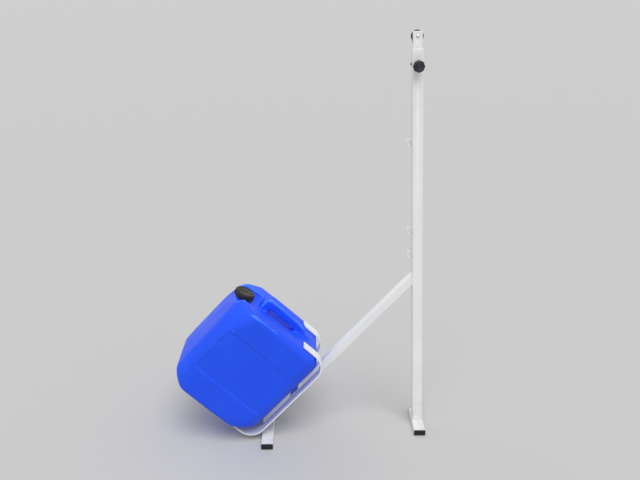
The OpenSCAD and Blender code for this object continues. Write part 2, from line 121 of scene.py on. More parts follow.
class CanisterSettings(bpy.types.PropertyGroup):
    """The blow-moulded canister: X runs from its front to its back, Z up its height."""

    height: length("Height", "From the flat bottom to the top behind the handle", 0.378)
    depth: length("Depth", "From the flat front to the back", 0.352)
    width: length("Width", "Across both wide sides", 0.276)
    front_swell: length("Front swell", "How far the front bulges", 0.009)
    floor_swell: length("Floor swell", "How far the bottom bulges", 0.008)
    side_swell: length("Side swell", "How far a wide side bulges", 0.005)
    top_fall: length("Top fall", "How far the top falls towards the front", 0.016)
    upright_radius: length("Upright edges", "Radius of the upright edges", 0.064)
    top_radius: length("Top edges", "Radius of the edges round the top", 0.029)
    base_radius: length("Base edges", "Radius of the edges round the base", 0.032)
    neck_x: length("Neck place", "Place of the neck along the depth", -0.156, -1.0)
    neck_z: length("Neck height", "Height of the neck's foot", 0.342)
    neck_length: length("Neck length", "Length of the filler neck", 0.020)
    neck_radius: length("Neck radius", "Outer radius of the filler neck", 0.027)
    bore_radius: length("Bore radius", "Inner radius of the filler neck", 0.024)
    platform_tilt: degrees("Platform tilt", "Slope of the platform round the neck", 12)
    handle_width: length("Handle width", "Across the grip", 0.048)
    handle_rise: length("Handle rise", "Height of the grip above the top", 0.032)
    handle_thickness: length("Handle thickness", "Height of the grip's section", 0.034)
    panel_depth: length("Panel depth", "Depth of the field on a wide side", 0.0038)
    seam_height: length("Seam height", "Height of the moulding seam", 0.0007)
    mesh_step: length("Mesh step", "Cell size of the skin's mesh", 0.0032)
    blue: colour("Blue", "Colour of the polyethylene", (0.011, 0.095, 0.960))


class FittingSettings(bpy.types.PropertyGroup):
    """Cap, knob, hooks and end caps."""

    cap_diameter: length("Cap diameter", "Over the ribs of the screw cap", 0.071)
    cap_height: length("Cap height", "Height of the screw cap", 0.022)
    cap_ribs: IntProperty(name="Cap ribs", description="Number of grip ribs", default=24, min=8, max=60)
    cap_lift: length("Cap lift", "Height of the cap's lower edge above the neck's foot", 0.00355)
    knob_diameter: length("Knob diameter", "Over the lobes of the clamp knob", 0.038)
    knob_lobes: IntProperty(name="Knob lobes", description="Number of lobes", default=8, min=3, max=16)
    knob_stand: length("Knob stand", "From the post's face to the knob's hub", 0.0105)
    hook_wire: length("Hook wire", "Diameter of the wire of the cord hooks", 0.0045)
    foot_cap_flange: length("End cap flange", "Thickness of an end cap outside its tube", 0.004)
    foot_cap_plug: length("End cap plug", "Depth of an end cap inside its tube", 0.014)
    black: colour("Black", "Colour of the black plastic", (0.013, 0.013, 0.017))
    # Painted reflection: warm patches over the cap that stand for a brown wall reflected in it
    cap_warm_reflection: colour("Cap tint", "Warm tint of the cap's worn top", (0.062, 0.043, 0.032))


class SteelSettings(bpy.types.PropertyGroup):
    """Painted tubes and flat bars."""

    post_width: length("Post width", "Width of the square outer tube", 0.035)
    brace_width: length("Brace width", "Width of the square brace tube", 0.030)
    foot_height: length("Foot height", "Height of the foot bars", 0.020)
    edge_radius: length("Edge radius", "Softening of sawn and sheared edges", 0.0006)
    bead_radius: length("Bead radius", "Half the width of a weld bead", 0.0022)
    bead_pitch: length("Bead pitch", "Spacing of a weld's ripples", 0.0013)
    white: colour("White", "Colour of the enamel", (0.870, 0.875, 0.865))
    bare: colour("Bare steel", "Colour of chipped places", (0.210, 0.195, 0.180))


class StageSettings(bpy.types.PropertyGroup):
    """Camera, floor and light."""

    focal_pixels: FloatProperty(
        name="Focal length", description="In pixels of a frame 640 wide", default=739.3, min=100
    )
    camera_place: FloatVectorProperty(
        name="Camera place", description="Where the camera stands", size=3, unit="LENGTH",
        default=(-0.3929, -2.3270, 1.4723),
    )
    pitch: degrees("Pitch", "Down from the horizon", 18.347)
    yaw: degrees("Yaw", "To the right of the Y axis", 1.024)
    roll: degrees("Roll", "About the view's own axis", -0.145)
    floor_size: length("Floor size", "Side of the floor", 2000.0, 1.0, 5000.0)
    floor_grey: share("Floor grey", "Lightness of the floor", 0.56)
    ambient: brightness("Ambient", "Strength of the surround", 0.54)
    key_strength: brightness("Key strength", "Strength of the soft light from above the camera", 1.76)
    rim_strength: brightness("Rim strength", "Strength of the soft light from behind", 0.25)
    softness: degrees("Softness", "Width of both lights in the sky", 40)


# ---- shader node groups --------------------------------------------------------


def add(tree, kind, inputs=None, **settings):
    """Adds a node, sets what it is told and links or sets its inputs."""
    node = tree.nodes.new(kind)
    for key, value in settings.items():
        setattr(node, key, value)
    for key, value in (inputs or {}).items():
        if isinstance(value, bpy.types.NodeSocket):
            tree.links.new(value, node.inputs[key])
        else:
            node.inputs[key].default_value = value
    return node


def out(tree, kind, inputs=None, **settings):
    """The first output of a new node."""
    return add(tree, kind, inputs, **settings).outputs[0]


def maths(tree, operation, *values):
    """A sum on numbers or sockets."""
    return out(tree, "ShaderNodeMath", dict(enumerate(values)), operation=operation)


def multiply(tree, a, b):
    return maths(tree, "MULTIPLY", a, b)


def remap(tree, value, low, high, to_low=0.0, to_high=1.0):
    inputs = {"Value": value, "From Min": low, "From Max": high, "To Min": to_low, "To Max": to_high}
    return out(tree, "ShaderNodeMapRange", inputs)


def mix(tree, factor, a, b):
    """A colour mixed from a to b."""
    return add(tree, "ShaderNodeMix", {0: factor, 6: a, 7: b}, data_type="RGBA").outputs[2]


def place(tree):
    """The point on the surface, in the shared frame."""
    return add(tree, "ShaderNodeTexCoord").outputs["Object"]


def noise(tree, vector, scale, detail=3.0, roughness=0.5):
    inputs = {"Vector": vector, "Scale": scale, "Detail": detail, "Roughness": roughness}
    return out(tree, "ShaderNodeTexNoise", inputs)


def surface_grain(tree, given):
    """Height of a fine moulded or sprayed grain over a slow waviness."""
    spot = place(tree)
    fine = multiply(tree, noise(tree, spot, given["Grain Scale"], 2.0), given["Grain"])
    slow = multiply(tree, noise(tree, spot, given["Wave Scale"], 1.0), given["Wave"])
    return maths(tree, "ADD", fine, slow)


def soft_patches(tree, given):
    """Mask of soft, slow patches, for faded or handled places, and for the painted sheen and painted reflection on
    the knob and cap.
    """
    cloud = noise(tree, place(tree), given["Scale"], 4.0, 0.6)
    return multiply(tree, remap(tree, cloud, 0.38, 0.66), given["Amount"])


def rubbed_streaks(tree, given):
    """Mask of thin rubbed streaks that keep to a few places."""
    spot = place(tree)
    drawn_out = {"Vector": spot, "Rotation": (0.4, 0.82, 0.2), "Scale": (0.12, 1.0, 1.0)}
    turned = out(tree, "ShaderNodeMapping", drawn_out)
    streaks = remap(tree, noise(tree, turned, given["Scale"], 5.0, 0.65), 0.60, 0.68)
    places = remap(tree, noise(tree, spot, given["Spread"], 2.0), 0.50, 0.62)
    return multiply(tree, multiply(tree, streaks, places), given["Amount"])


def floor_dirt(tree, given):
    """Mask of grime that fades out with height above the floor."""
    spot = place(tree)
    height = add(tree, "ShaderNodeSeparateXYZ", {0: spot}).outputs["Z"]
    low = remap(tree, height, 0.0, given["Top"], 1.0, 0.0)
    broken = remap(tree, noise(tree, spot, 38.0, 5.0, 0.65), 0.35, 0.70)
    return multiply(tree, multiply(tree, low, broken), given["Amount"])


def edge_wear(tree, given):
    """Mask of worn spots along marked edges."""
    spots = noise(tree, place(tree), given["Scale"], 6.0, 0.7)
    reach = multiply(tree, given["Coverage"], given["Edge"])
    return remap(tree, maths(tree, "ADD", spots, reach), 0.98, 1.04)


# Each group's maker, its inputs with their defaults, and its output
GROUPS = {
    "surface_grain": (surface_grain, {"Grain Scale": 800, "Grain": 1, "Wave Scale": 20, "Wave": 1}, "Height"),
    "soft_patches": (soft_patches, {"Scale": 6, "Amount": 0.5}, "Mask"),
    "rubbed_streaks": (rubbed_streaks, {"Scale": 90, "Spread": 5, "Amount": 0.5}, "Mask"),
    "floor_dirt": (floor_dirt, {"Top": 0.1, "Amount": 0.5}, "Mask"),
    "edge_wear": (edge_wear, {"Edge": 0, "Scale": 60, "Coverage": 0.5}, "Mask"),
}


def shader_group(name):
    """Builds one of the shared groups round what its maker puts out."""
    make, inputs, output = GROUPS[name]
    tree = bpy.data.node_groups.new(name, "ShaderNodeTree")
    for label, value in inputs.items():
        socket = tree.interface.new_socket(label, in_out="INPUT", socket_type="NodeSocketFloat")
        socket.default_value = value
    tree.interface.new_socket(output, in_out="OUTPUT", socket_type="NodeSocketFloat")
    entry, leave = tree.nodes.new("NodeGroupInput"), tree.nodes.new("NodeGroupOutput")
    tree.links.new(make(tree, entry.outputs), leave.inputs[output])
    return tree


def effect(tree, name, **inputs):
    """One of the shared effects, built the first time that it is asked for."""
    group = bpy.data.node_groups.get(name) or shader_group(name)
    inputs = {key.replace("_", " "): value for key, value in inputs.items()}
    return out(tree, "ShaderNodeGroup", inputs, node_tree=group)


# ---- materials -----------------------------------------------------------------

RUBBED_PAINT = (0.60, 0.60, 0.59, 1)
PAINT_GRIME = (0.40, 0.37, 0.33, 1)
BLUE_SCUFF = (0.12, 0.25, 0.90, 1)
BLUE_GRIME = (0.10, 0.13, 0.38, 1)
BLACK_RUBBED = (0.085, 0.088, 0.095, 1)
BLACK_DUST = (0.10, 0.10, 0.105, 1)
# Painted sheen: bluish grey patches that stand for the knob's glossy sheen under the lights
KNOB_PAINTED_SHEEN = (0.060, 0.060, 0.085)
COOL_ZINC = (0.60, 0.63, 0.67, 1)
WARM_ZINC = (0.66, 0.62, 0.53, 1)
ZINC_SCRATCH = (0.35, 0.35, 0.36, 1)
SEAL_GREY = (0.19, 0.19, 0.195, 1)
SEAL_BLOOM = (0.30, 0.30, 0.30, 1)


def opaque(rgb):
    return (rgb[0], rgb[1], rgb[2], 1.0)


def new_material(name):
    """A material with a Principled shader, and that shader."""
    material = bpy.data.materials.new(name)
    material.use_nodes = True
    return material, material.node_tree, material.node_tree.nodes["Principled BSDF"]


def edge_wear_and_highlight(tree, scale, coverage):
    """Mask of wear along the edges that the mesh's own attribute marks; on the canister the same mask also places
    a painted highlight.
    """
    edge = add(tree, "ShaderNodeAttribute", attribute_name="worn_edge").outputs["Fac"]
    return effect(tree, "edge_wear", Edge=edge, Scale=scale, Coverage=coverage)


def layered(tree, tone, layers):
    """A colour with further colours over it, each where its mask says."""
    for mask, over in layers:
        tone = mix(tree, mask, tone, over)
    return tone


def finish_surface(tree, shader, tone, dull, roughness, grain, depth):
    """Sets a colour, a roughness between two values by a mask, and a grain's bump of a depth in metres."""
    tree.links.new(tone, shader.inputs["Base Color"])
    tree.links.new(remap(tree, dull, 0, 1, *roughness), shader.inputs["Roughness"])
    named = dict(zip(("Grain_Scale", "Grain", "Wave_Scale", "Wave"), grain))
    height = effect(tree, "surface_grain", **named)
    relief = out(tree, "ShaderNodeBump", {"Height": height, "Distance": depth, "Strength": 1.0})
    tree.links.new(relief, shader.inputs["Normal"])


def white_enamel(name, sizes):
    """Satin white enamel over steel: orange peel, handled patches, floor grime and small chips."""
    material, tree, shader = new_material(name)
    greyer = opaque([c * f for c, f in zip(sizes.white, (0.90, 0.92, 0.94))])
    paint = layered(tree, opaque(sizes.white), (
        (effect(tree, "soft_patches", Scale=5.0, Amount=0.8), greyer),
        (effect(tree, "rubbed_streaks", Scale=120.0, Spread=7.0, Amount=0.35), RUBBED_PAINT),
        (effect(tree, "floor_dirt", Top=0.12, Amount=0.45), PAINT_GRIME),
        (edge_wear_and_highlight(tree, 80.0, 0.36), opaque(sizes.bare)),
    ))
    shader.inputs["Coat Weight"].default_value = 0.15
    shader.inputs["Coat Roughness"].default_value = 0.22
    dull = effect(tree, "soft_patches", Scale=14.0, Amount=1.0)
    finish_surface(tree, shader, paint, dull, (0.30, 0.42), (520.0, 1.0, 60.0, 1.5), 0.00012)
    return material


def blue_polyethylene(name, sizes):
    """Blow-moulded polyethylene: stippled, slightly wavy, lighter and more cyan along its crests as rubbing wear
    and as a painted highlight.
    """
    material, tree, shader = new_material(name)
    red, green, blue = sizes.blue
    deeper = opaque((red * 0.75, green * 0.80, blue * 0.92))
    crest_highlight_and_wear = opaque((red + 0.05, green + 0.16, min(1.0, blue + 0.04)))
    skin = layered(tree, opaque(sizes.blue), (
        (effect(tree, "soft_patches", Scale=4.0, Amount=1.0), deeper),
        # Painted highlight: broad crests and edges turn lighter and more cyan, partly rubbing wear, partly a
        # painted highlight
        (multiply(tree, edge_wear_and_highlight(tree, 34.0, 0.60), 0.70), crest_highlight_and_wear),
        (effect(tree, "rubbed_streaks", Scale=150.0, Spread=6.0, Amount=0.35), BLUE_SCUFF),
        (effect(tree, "floor_dirt", Top=0.20, Amount=0.16), BLUE_GRIME),
    ))
    shader.inputs["Specular IOR Level"].default_value = 0.30
    dull = effect(tree, "soft_patches", Scale=11.0, Amount=1.0)
    finish_surface(tree, shader, skin, dull, (0.42, 0.54), (620.0, 0.35, 16.0, 3.0), 0.0005)
    return material


def black_plastic(name, rgb, worn, grain_scale, roughness, wear=0.5):
    """Grained black plastic with soft patches of a second tone: greyer rubbed places on most parts, a painted
    sheen on the knob and a painted reflection on the cap.
    """
    material, tree, shader = new_material(name)
    tone = layered(tree, opaque(rgb), (
        # Soft patches: rubbed grey on plain parts, painted sheen on the knob, painted reflection on the cap
        (effect(tree, "soft_patches", Scale=26.0, Amount=wear), opaque(worn)),
        (multiply(tree, edge_wear_and_highlight(tree, 110.0, 0.54), 0.6), BLACK_RUBBED),
        (effect(tree, "rubbed_streaks", Scale=260.0, Spread=30.0, Amount=0.35), BLACK_DUST),
    ))
    shader.inputs["Specular IOR Level"].default_value = 0.30
    dull = effect(tree, "soft_patches", Scale=40.0, Amount=1.0)
    limits = (roughness, roughness + 0.14)
    finish_surface(tree, shader, tone, dull, limits, (grain_scale, 1.0, 90.0, 0.6), 0.00008)
    return material


def zinc_steel(name):
    """Zinc-plated steel: fine drawn lines and faint bluish and yellowish blotches."""
    material, tree, shader = new_material(name)
    plate = layered(tree, COOL_ZINC, (
        (effect(tree, "soft_patches", Scale=70.0, Amount=0.7), WARM_ZINC),
        (effect(tree, "rubbed_streaks", Scale=400.0, Spread=50.0, Amount=0.4), ZINC_SCRATCH),
    ))
    shader.inputs["Metallic"].default_value = 1.0
    dull = effect(tree, "soft_patches", Scale=120.0, Amount=1.0)
    finish_surface(tree, shader, plate, dull, (0.28, 0.46), (1500.0, 1.0, 300.0, 0.5), 0.00003)
    return material


def seal_rubber(name):
    """Smooth grey rubber with a faint bloom."""
    material, tree, shader = new_material(name)
    bloom = effect(tree, "soft_patches", Scale=60.0, Amount=0.8)
    tone = mix(tree, bloom, SEAL_GREY, SEAL_BLOOM)
    finish_surface(tree, shader, tone, bloom, (0.55, 0.75), (900.0, 1.0, 90.0, 1.0), 0.00006)
    return material


def stage_floor(grey):
    """Matt floor of one pale tone."""
    material, _, shader = new_material("pale_stage_floor")
    shader.inputs["Base Color"].default_value = (grey, grey, grey, 1)
    shader.inputs["Roughness"].default_value = 0.95
    shader.inputs["Specular IOR Level"].default_value = 0.1
    return material


def finish_of(slot):
    """The material for one of the record's slots, or for the cap and the knob with their painted reflection and
    painted sheen, made once.
    """
    scene = bpy.context.scene
    fittings = scene.net_post_fittings
    black = fittings.black
    soot = [c * 1.6 for c in black]
    makers = {
        "white_enamel": (white_enamel, "white_enamel_paint", scene.net_post_steel),
        "blue_polyethylene": (blue_polyethylene, "blue_moulded_polyethylene", scene.net_post_canister),
        "black_plastic": (black_plastic, "black_grained_plastic", black, soot, 900.0, 0.42),
        # Cap: painted reflection of a warm wall in soft patches over the black
        "cap_plastic": (black_plastic, "black_cap_plastic", black, fittings.cap_warm_reflection, 700.0, 0.44, 1.0),
        # Knob: painted sheen in soft bluish patches over the black
        "knob_plastic": (black_plastic, "black_knob_plastic", black, KNOB_PAINTED_SHEEN, 900.0, 0.36, 1.0),
        "black_nylon": (black_plastic, "black_turned_nylon", black, soot, 1600.0, 0.30),
        "zinc_steel": (zinc_steel, "zinc_plated_steel"),
        "seal_rubber": (seal_rubber, "grey_seal_rubber"),
    }
    make, name, *values = makers[slot]
    return bpy.data.materials.get(name) or make(name, *values)


# ---- mesh helpers --------------------------------------------------------------

# How sharply an edge bends, in radians per metre, to count as fully worn; on the canister's broad crests this also
# sets the painted highlight
BROAD_BEND, MOULDED_BEND, FINE_BEND = 55.0, 700.0, 900.0


def linked(name, data):
    """A new object in the scene."""
    thing = bpy.data.objects.new(name, data)
    bpy.context.scene.collection.objects.link(thing)
    return thing


def mesh_of(name, points, faces):
    """A mesh from points and faces, with its faces turned outwards."""
    mesh = bpy.data.meshes.new(name)
    mesh.from_pydata([tuple(p) for p in points], [], [tuple(f) for f in faces])
    form = bmesh.new()
    form.from_mesh(mesh)
    bmesh.ops.remove_doubles(form, verts=form.verts, dist=1e-7)
    bmesh.ops.recalc_face_normals(form, faces=form.faces)
    form.to_mesh(mesh)
    form.free()
    return mesh


def mark_edges(mesh, full_bend):
    """Stores how sharply the surface bends outwards at each vertex, 1 at full_bend in radians per metre."""
    count = len(mesh.vertices)
    points = np.empty(count * 3, np.float32)
    mesh.vertices.foreach_get("co", points)
    normals = np.empty(count * 3, np.float32)
    mesh.vertex_normals.foreach_get("vector", normals)
    ends = np.empty(len(mesh.edges) * 2, np.int32)
    mesh.edges.foreach_get("vertices", ends)
    points, normals, ends = points.reshape(-1, 3), normals.reshape(-1, 3), ends.reshape(-1, 2)
    step = points[ends[:, 1]] - points[ends[:, 0]]
    turn = normals[ends[:, 1]] - normals[ends[:, 0]]
    bend = (turn * step).sum(1) / np.maximum((step * step).sum(1), 1e-12)
    total = np.zeros(count)
    uses = np.zeros(count)
    for side in (0, 1):
        np.add.at(total, ends[:, side], bend)
        np.add.at(uses, ends[:, side], 1)
    mark = np.clip(total / np.maximum(uses, 1) / full_bend, 0, 1).astype(np.float32)
    # This mark drives edge wear on every piece and, on the canister, also a painted highlight
    attribute = mesh.attributes.new("worn_edge", "FLOAT", "POINT")
    attribute.data.foreach_set("value", mark)


def dress(mesh, full_bend, crisp=math.radians(32)):
    """Smooth shading with edges past an angle kept crisp, and the marks that edge wear and the canister's painted
    highlight follow.
    """
    mesh.polygons.foreach_set("use_smooth", [True] * len(mesh.polygons))
    mesh.set_sharp_from_angle(angle=crisp)
    mesh.update()
    mark_edges(mesh, full_bend)


def add_piece(mesh, body, slot, replaced=(), finish=None):
    """Links a finished mesh as a piece of the mesh's name that rides on a body."""
    mesh.materials.clear()
    mesh.materials.append(finish_of(finish or slot))
    piece = linked(mesh.name, mesh)
    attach(piece, body)
    if replaced:
        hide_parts(*replaced)
    return piece


def rounded_loop(width, height, radius, steps=5):
    """Points of a rounded rectangle about the origin, anticlockwise."""
    points = []
    for quarter, (sx, sy) in enumerate(((1, 1), (-1, 1), (-1, -1), (1, -1))):
        for i in range(steps + 1):
            angle = math.radians(90 * (quarter + i / steps))
            x = sx * (width / 2 - radius) + radius * math.cos(angle)
            y = sy * (height / 2 - radius) + radius * math.sin(angle)
            points.append((x, y))
    return points


def block_loops(width, height, levels, steps=5):
    """Loops of a block with rounded corners, by levels of (place, inset, corner radius)."""
    return [
        [(x, y, level) for x, y in rounded_loop(width - 2 * inset, height - 2 * inset, radius, steps)]
        for level, inset, radius in levels
    ]


def loft(loops, ring=False):
    """Points and faces of a closed form through loops of equal length: a ring, or with both ends filled."""
    count, total = len(loops[0]), len(loops)
    points = [p for loop in loops for p in loop]
    faces = []
    for k in range(total if ring else total - 1):
        here, there = k * count, (k + 1) % total * count
        for i in range(count):
            j = (i + 1) % count
            faces.append((here + i, here + j, there + j, there + i))
    if not ring:
        faces.append(tuple(range(count))[::-1])
        faces.append(tuple((total - 1) * count + i for i in range(count)))
    return points, faces


def lathe(profile, segments):
    """Points and faces of a profile of (radius, height) points turned about Z; ends on the axis close it."""
    points, rings = [], []
    for radius, height in profile:
        if radius < 1e-6:
            rings.append([len(points)])
            points.append((0, 0, height))
            continue
        rings.append(list(range(len(points), len(points) + segments)))
        for i in range(segments):
            angle = 2 * math.pi * i / segments
            points.append((radius * math.cos(angle), radius * math.sin(angle), height))
    faces = []
    for low, high in zip(rings, rings[1:]):
        for i in range(segments):
            j = (i + 1) % segments
            corners = [low[i % len(low)], low[j % len(low)], high[j % len(high)], high[i % len(high)]]
            faces.append(tuple(dict.fromkeys(corners)))
    return points, faces


def arc(cx, cz, radius, start, span, steps):
    """Points on an arc in a plane, by angles in degrees."""
    angles = [math.radians(start + span * i / steps) for i in range(steps + 1)]
    return [(cx + radius * math.cos(a), cz + radius * math.sin(a)) for a in angles]


def wire_mesh(name, path, radius, closed, sides=16):
    """A round wire along a plane path of (x, z) points, with domed ends where it is open."""
    path = [Vector((x, 0, z)) for x, z in path]
    path = [p for i, p in enumerate(path) if i == 0 or (p - path[i - 1]).length > 1e-6]
    count = len(path)
    turns = [2 * math.pi * k / sides for k in range(sides)]
    loops = []
    for i, point in enumerate(path):
        before = path[(i - 1) % count] if closed or i else point
        after = path[(i + 1) % count] if closed or i < count - 1 else point
        along = (after - before).normalized()
        side = along.cross(ACROSS)
        rim = [(side * math.cos(a) + ACROSS * math.sin(a)) * radius for a in turns]
        loops.append([point + r for r in rim])
        if not closed and i in (0, count - 1):
            back = -along if i == 0 else along
            dome = [(point + back * radius * math.sin(t), math.cos(t)) for t in (1.3, 1.0, 0.7, 0.35)]
            dome = [[centre + r * scale for r in rim] for centre, scale in dome]
            loops = dome + loops if i == 0 else loops + dome[::-1]
    return mesh_of(name, *loft(loops, closed))


def basis(x_axis, y_axis, z_axis, origin):
    """The matrix that takes a piece's own axes to these directions."""
    columns = Matrix((x_axis, y_axis, z_axis)).transposed()
    return Matrix.Translation(origin) @ columns.to_4x4()


def joined(name, meshes):
    """One mesh from several."""
    form = bmesh.new()
    for mesh in meshes:
        form.from_mesh(mesh)
    whole = bpy.data.meshes.new(name)
    form.to_mesh(whole)
    form.free()
    return whole


# ---- geometry node trees -------------------------------------------------------


def geometry_tree(name, inputs):
    """An empty geometry node tree with a geometry input and output and these named inputs."""
    tree = bpy.data.node_groups.new(name, "GeometryNodeTree")
    tree.interface.new_socket("Geometry", in_out="INPUT", socket_type="NodeSocketGeometry")
    for label, kind in inputs:
        tree.interface.new_socket(label, in_out="INPUT", socket_type=kind)
    tree.interface.new_socket("Geometry", in_out="OUTPUT", socket_type="NodeSocketGeometry")
    return tree, tree.nodes.new("NodeGroupInput"), tree.nodes.new("NodeGroupOutput")


def finish_tree(tree, entry, leave, geometry):
    """Ends a tree in real geometry with its material."""
    real = out(tree, "GeometryNodeRealizeInstances", {0: geometry})
    smooth = out(tree, "GeometryNodeSetShadeSmooth", {0: real})
    coated = {"Geometry": smooth, "Material": entry.outputs["Material"]}
    tree.links.new(out(tree, "GeometryNodeSetMaterial", coated), leave.inputs[0])


def rib_ring_tree():
    """Upright round-ended ribs in a ring, joined to the form that carries them."""
    tree, entry, leave = geometry_tree("rib_ring", [
        ("Count", "NodeSocketInt"), ("Ring Radius", "NodeSocketFloat"), ("Rib Radius", "NodeSocketFloat"),
        ("Rib Height", "NodeSocketFloat"), ("Foot", "NodeSocketFloat"), ("Material", "NodeSocketMaterial"),
    ])
    given = entry.outputs
    ring = out(tree, "GeometryNodeMeshCircle", {"Vertices": given["Count"], "Radius": given["Ring Radius"]})
    rod = out(tree, "GeometryNodeMeshCylinder", {
        "Vertices": 14, "Side Segments": 12, "Radius": given["Rib Radius"], "Depth": given["Rib Height"],
    })
    parts = add(tree, "ShaderNodeSeparateXYZ", {0: out(tree, "GeometryNodeInputPosition")}).outputs
    half = multiply(tree, given["Rib Height"], 0.5)
    away = maths(tree, "ABSOLUTE", maths(tree, "DIVIDE", parts[2], half))
    bend = maths(tree, "POWER", away, 7.0)
    slim = maths(tree, "SUBTRACT", 1.0, multiply(tree, bend, 0.55))
    tapered = out(tree, "ShaderNodeCombineXYZ", {
        0: multiply(tree, parts[0], slim), 1: multiply(tree, parts[1], slim), 2: parts[2],
    })
    rib = out(tree, "GeometryNodeSetPosition", {"Geometry": rod, "Position": tapered})
    ribs = out(tree, "GeometryNodeInstanceOnPoints", {"Points": ring, "Instance": rib})
    rise = out(tree, "ShaderNodeCombineXYZ", {2: maths(tree, "ADD", given["Foot"], half)})
    risen = out(tree, "GeometryNodeTransform", {"Geometry": ribs, "Translation": rise})
    both = add(tree, "GeometryNodeJoinGeometry")
    tree.links.new(given["Geometry"], both.inputs[0])
    tree.links.new(risen, both.inputs[0])
    finish_tree(tree, entry, leave, both.outputs[0])
    return tree


def weld_bead_tree():
    """Overlapping ripples of weld metal along the edges of a mesh."""
    tree, entry, leave = geometry_tree("weld_bead", [
        ("Pitch", "NodeSocketFloat"), ("Radius", "NodeSocketFloat"), ("Seed", "NodeSocketInt"),
        ("Material", "NodeSocketMaterial"),
    ])
    given = entry.outputs
    line = out(tree, "GeometryNodeMeshToCurve", {0: given["Geometry"]})
    steps = out(tree, "GeometryNodeResampleCurve", {"Curve": line, "Length": given["Pitch"]}, mode="LENGTH")
    drop = out(tree, "GeometryNodeMeshUVSphere", {"Segments": 10, "Rings": 6, "Radius": given["Radius"]})
    tangent = out(tree, "GeometryNodeInputTangent")
    heading = out(tree, "FunctionNodeAlignRotationToVector", {"Vector": tangent}, axis="Y")
    spread = out(tree, "FunctionNodeRandomValue", {
        0: (0.88, 0.62, 0.84), 1: (1.12, 0.78, 1.08), "Seed": given["Seed"],
    }, data_type="FLOAT_VECTOR")
    beads = out(tree, "GeometryNodeInstanceOnPoints", {
        "Points": steps, "Instance": drop, "Rotation": heading, "Scale": spread,
    })
    finish_tree(tree, entry, leave, beads)
    return tree


def grown(name, mesh, tree, **inputs):
    """The plain mesh that a geometry node tree makes from a mesh."""
    carrier = linked(name, mesh)
    modifier = carrier.modifiers.new(name, "NODES")
    modifier.node_group = tree
    for item in tree.interface.items_tree:
        key = item.name.lower().replace(" ", "_")
        if item.in_out == "INPUT" and key in inputs:
            modifier[item.identifier] = inputs[key]
    carrier.update_tag()
    bpy.context.view_layer.update()
    evaluated = carrier.evaluated_get(bpy.context.evaluated_depsgraph_get())
    made = bpy.data.meshes.new_from_object(evaluated)
    made.name = name
    bpy.data.objects.remove(carrier)
    if not made.polygons:
        raise RuntimeError(f"the tree {tree.name} made no faces for {name}")
    return made


# ---- the canister's form -------------------------------------------------------

# Widths over which the canister's surfaces blend into each other
BLEND = {
    "front_swell": 0.003, "top_fall": 0.003, "floor": 0.004, "plan_front": 0.006, "box": 0.007,
    "wide_sides": 0.006, "facets": 0.014, "platform": 0.008, "platform_riser": 0.030, "platform_floor": 0.010,
    "trough": 0.012, "trough_floor": 0.024, "grip": 0.009, "grip_ends": 0.030, "grip_foot": 0.010,
    "grip_sides": 0.013, "grip_gap": 0.008, "neck": 0.004, "neck_lip": 0.002,
}


def soft_max(a, b, width):
    """The larger of two distances, blended over a width: a rounded intersection."""
    near = np.maximum(width - np.abs(a - b), 0) / width
    return np.maximum(a, b) + near * near * width / 4


def soft_min(a, b, width):
    """The smaller of two distances, blended over a width: a rounded union."""
    return -soft_max(-a, -b, width)


def rounded_field(p, q, low, high, radii):
    """Distance to a rounded rectangle; radii run low-low, high-low, high-high, low-high."""
    middle = ((low[0] + high[0]) / 2, (low[1] + high[1]) / 2)
    half = ((high[0] - low[0]) / 2, (high[1] - low[1]) / 2)
    right, up = p > middle[0], q > middle[1]
    radius = np.where(up, np.where(right, radii[2], radii[3]), np.where(right, radii[1], radii[0]))
    a = np.abs(p - middle[0]) - half[0] + radius
    b = np.abs(q - middle[1]) - half[1] + radius
    return np.minimum(np.maximum(a, b), 0) + np.hypot(np.maximum(a, 0), np.maximum(b, 0)) - radius


def swell_radius(chord, rise):
    """Radius of an arc that rises so much over a chord."""
    return (chord * chord / 4 + rise * rise) / (2 * rise)


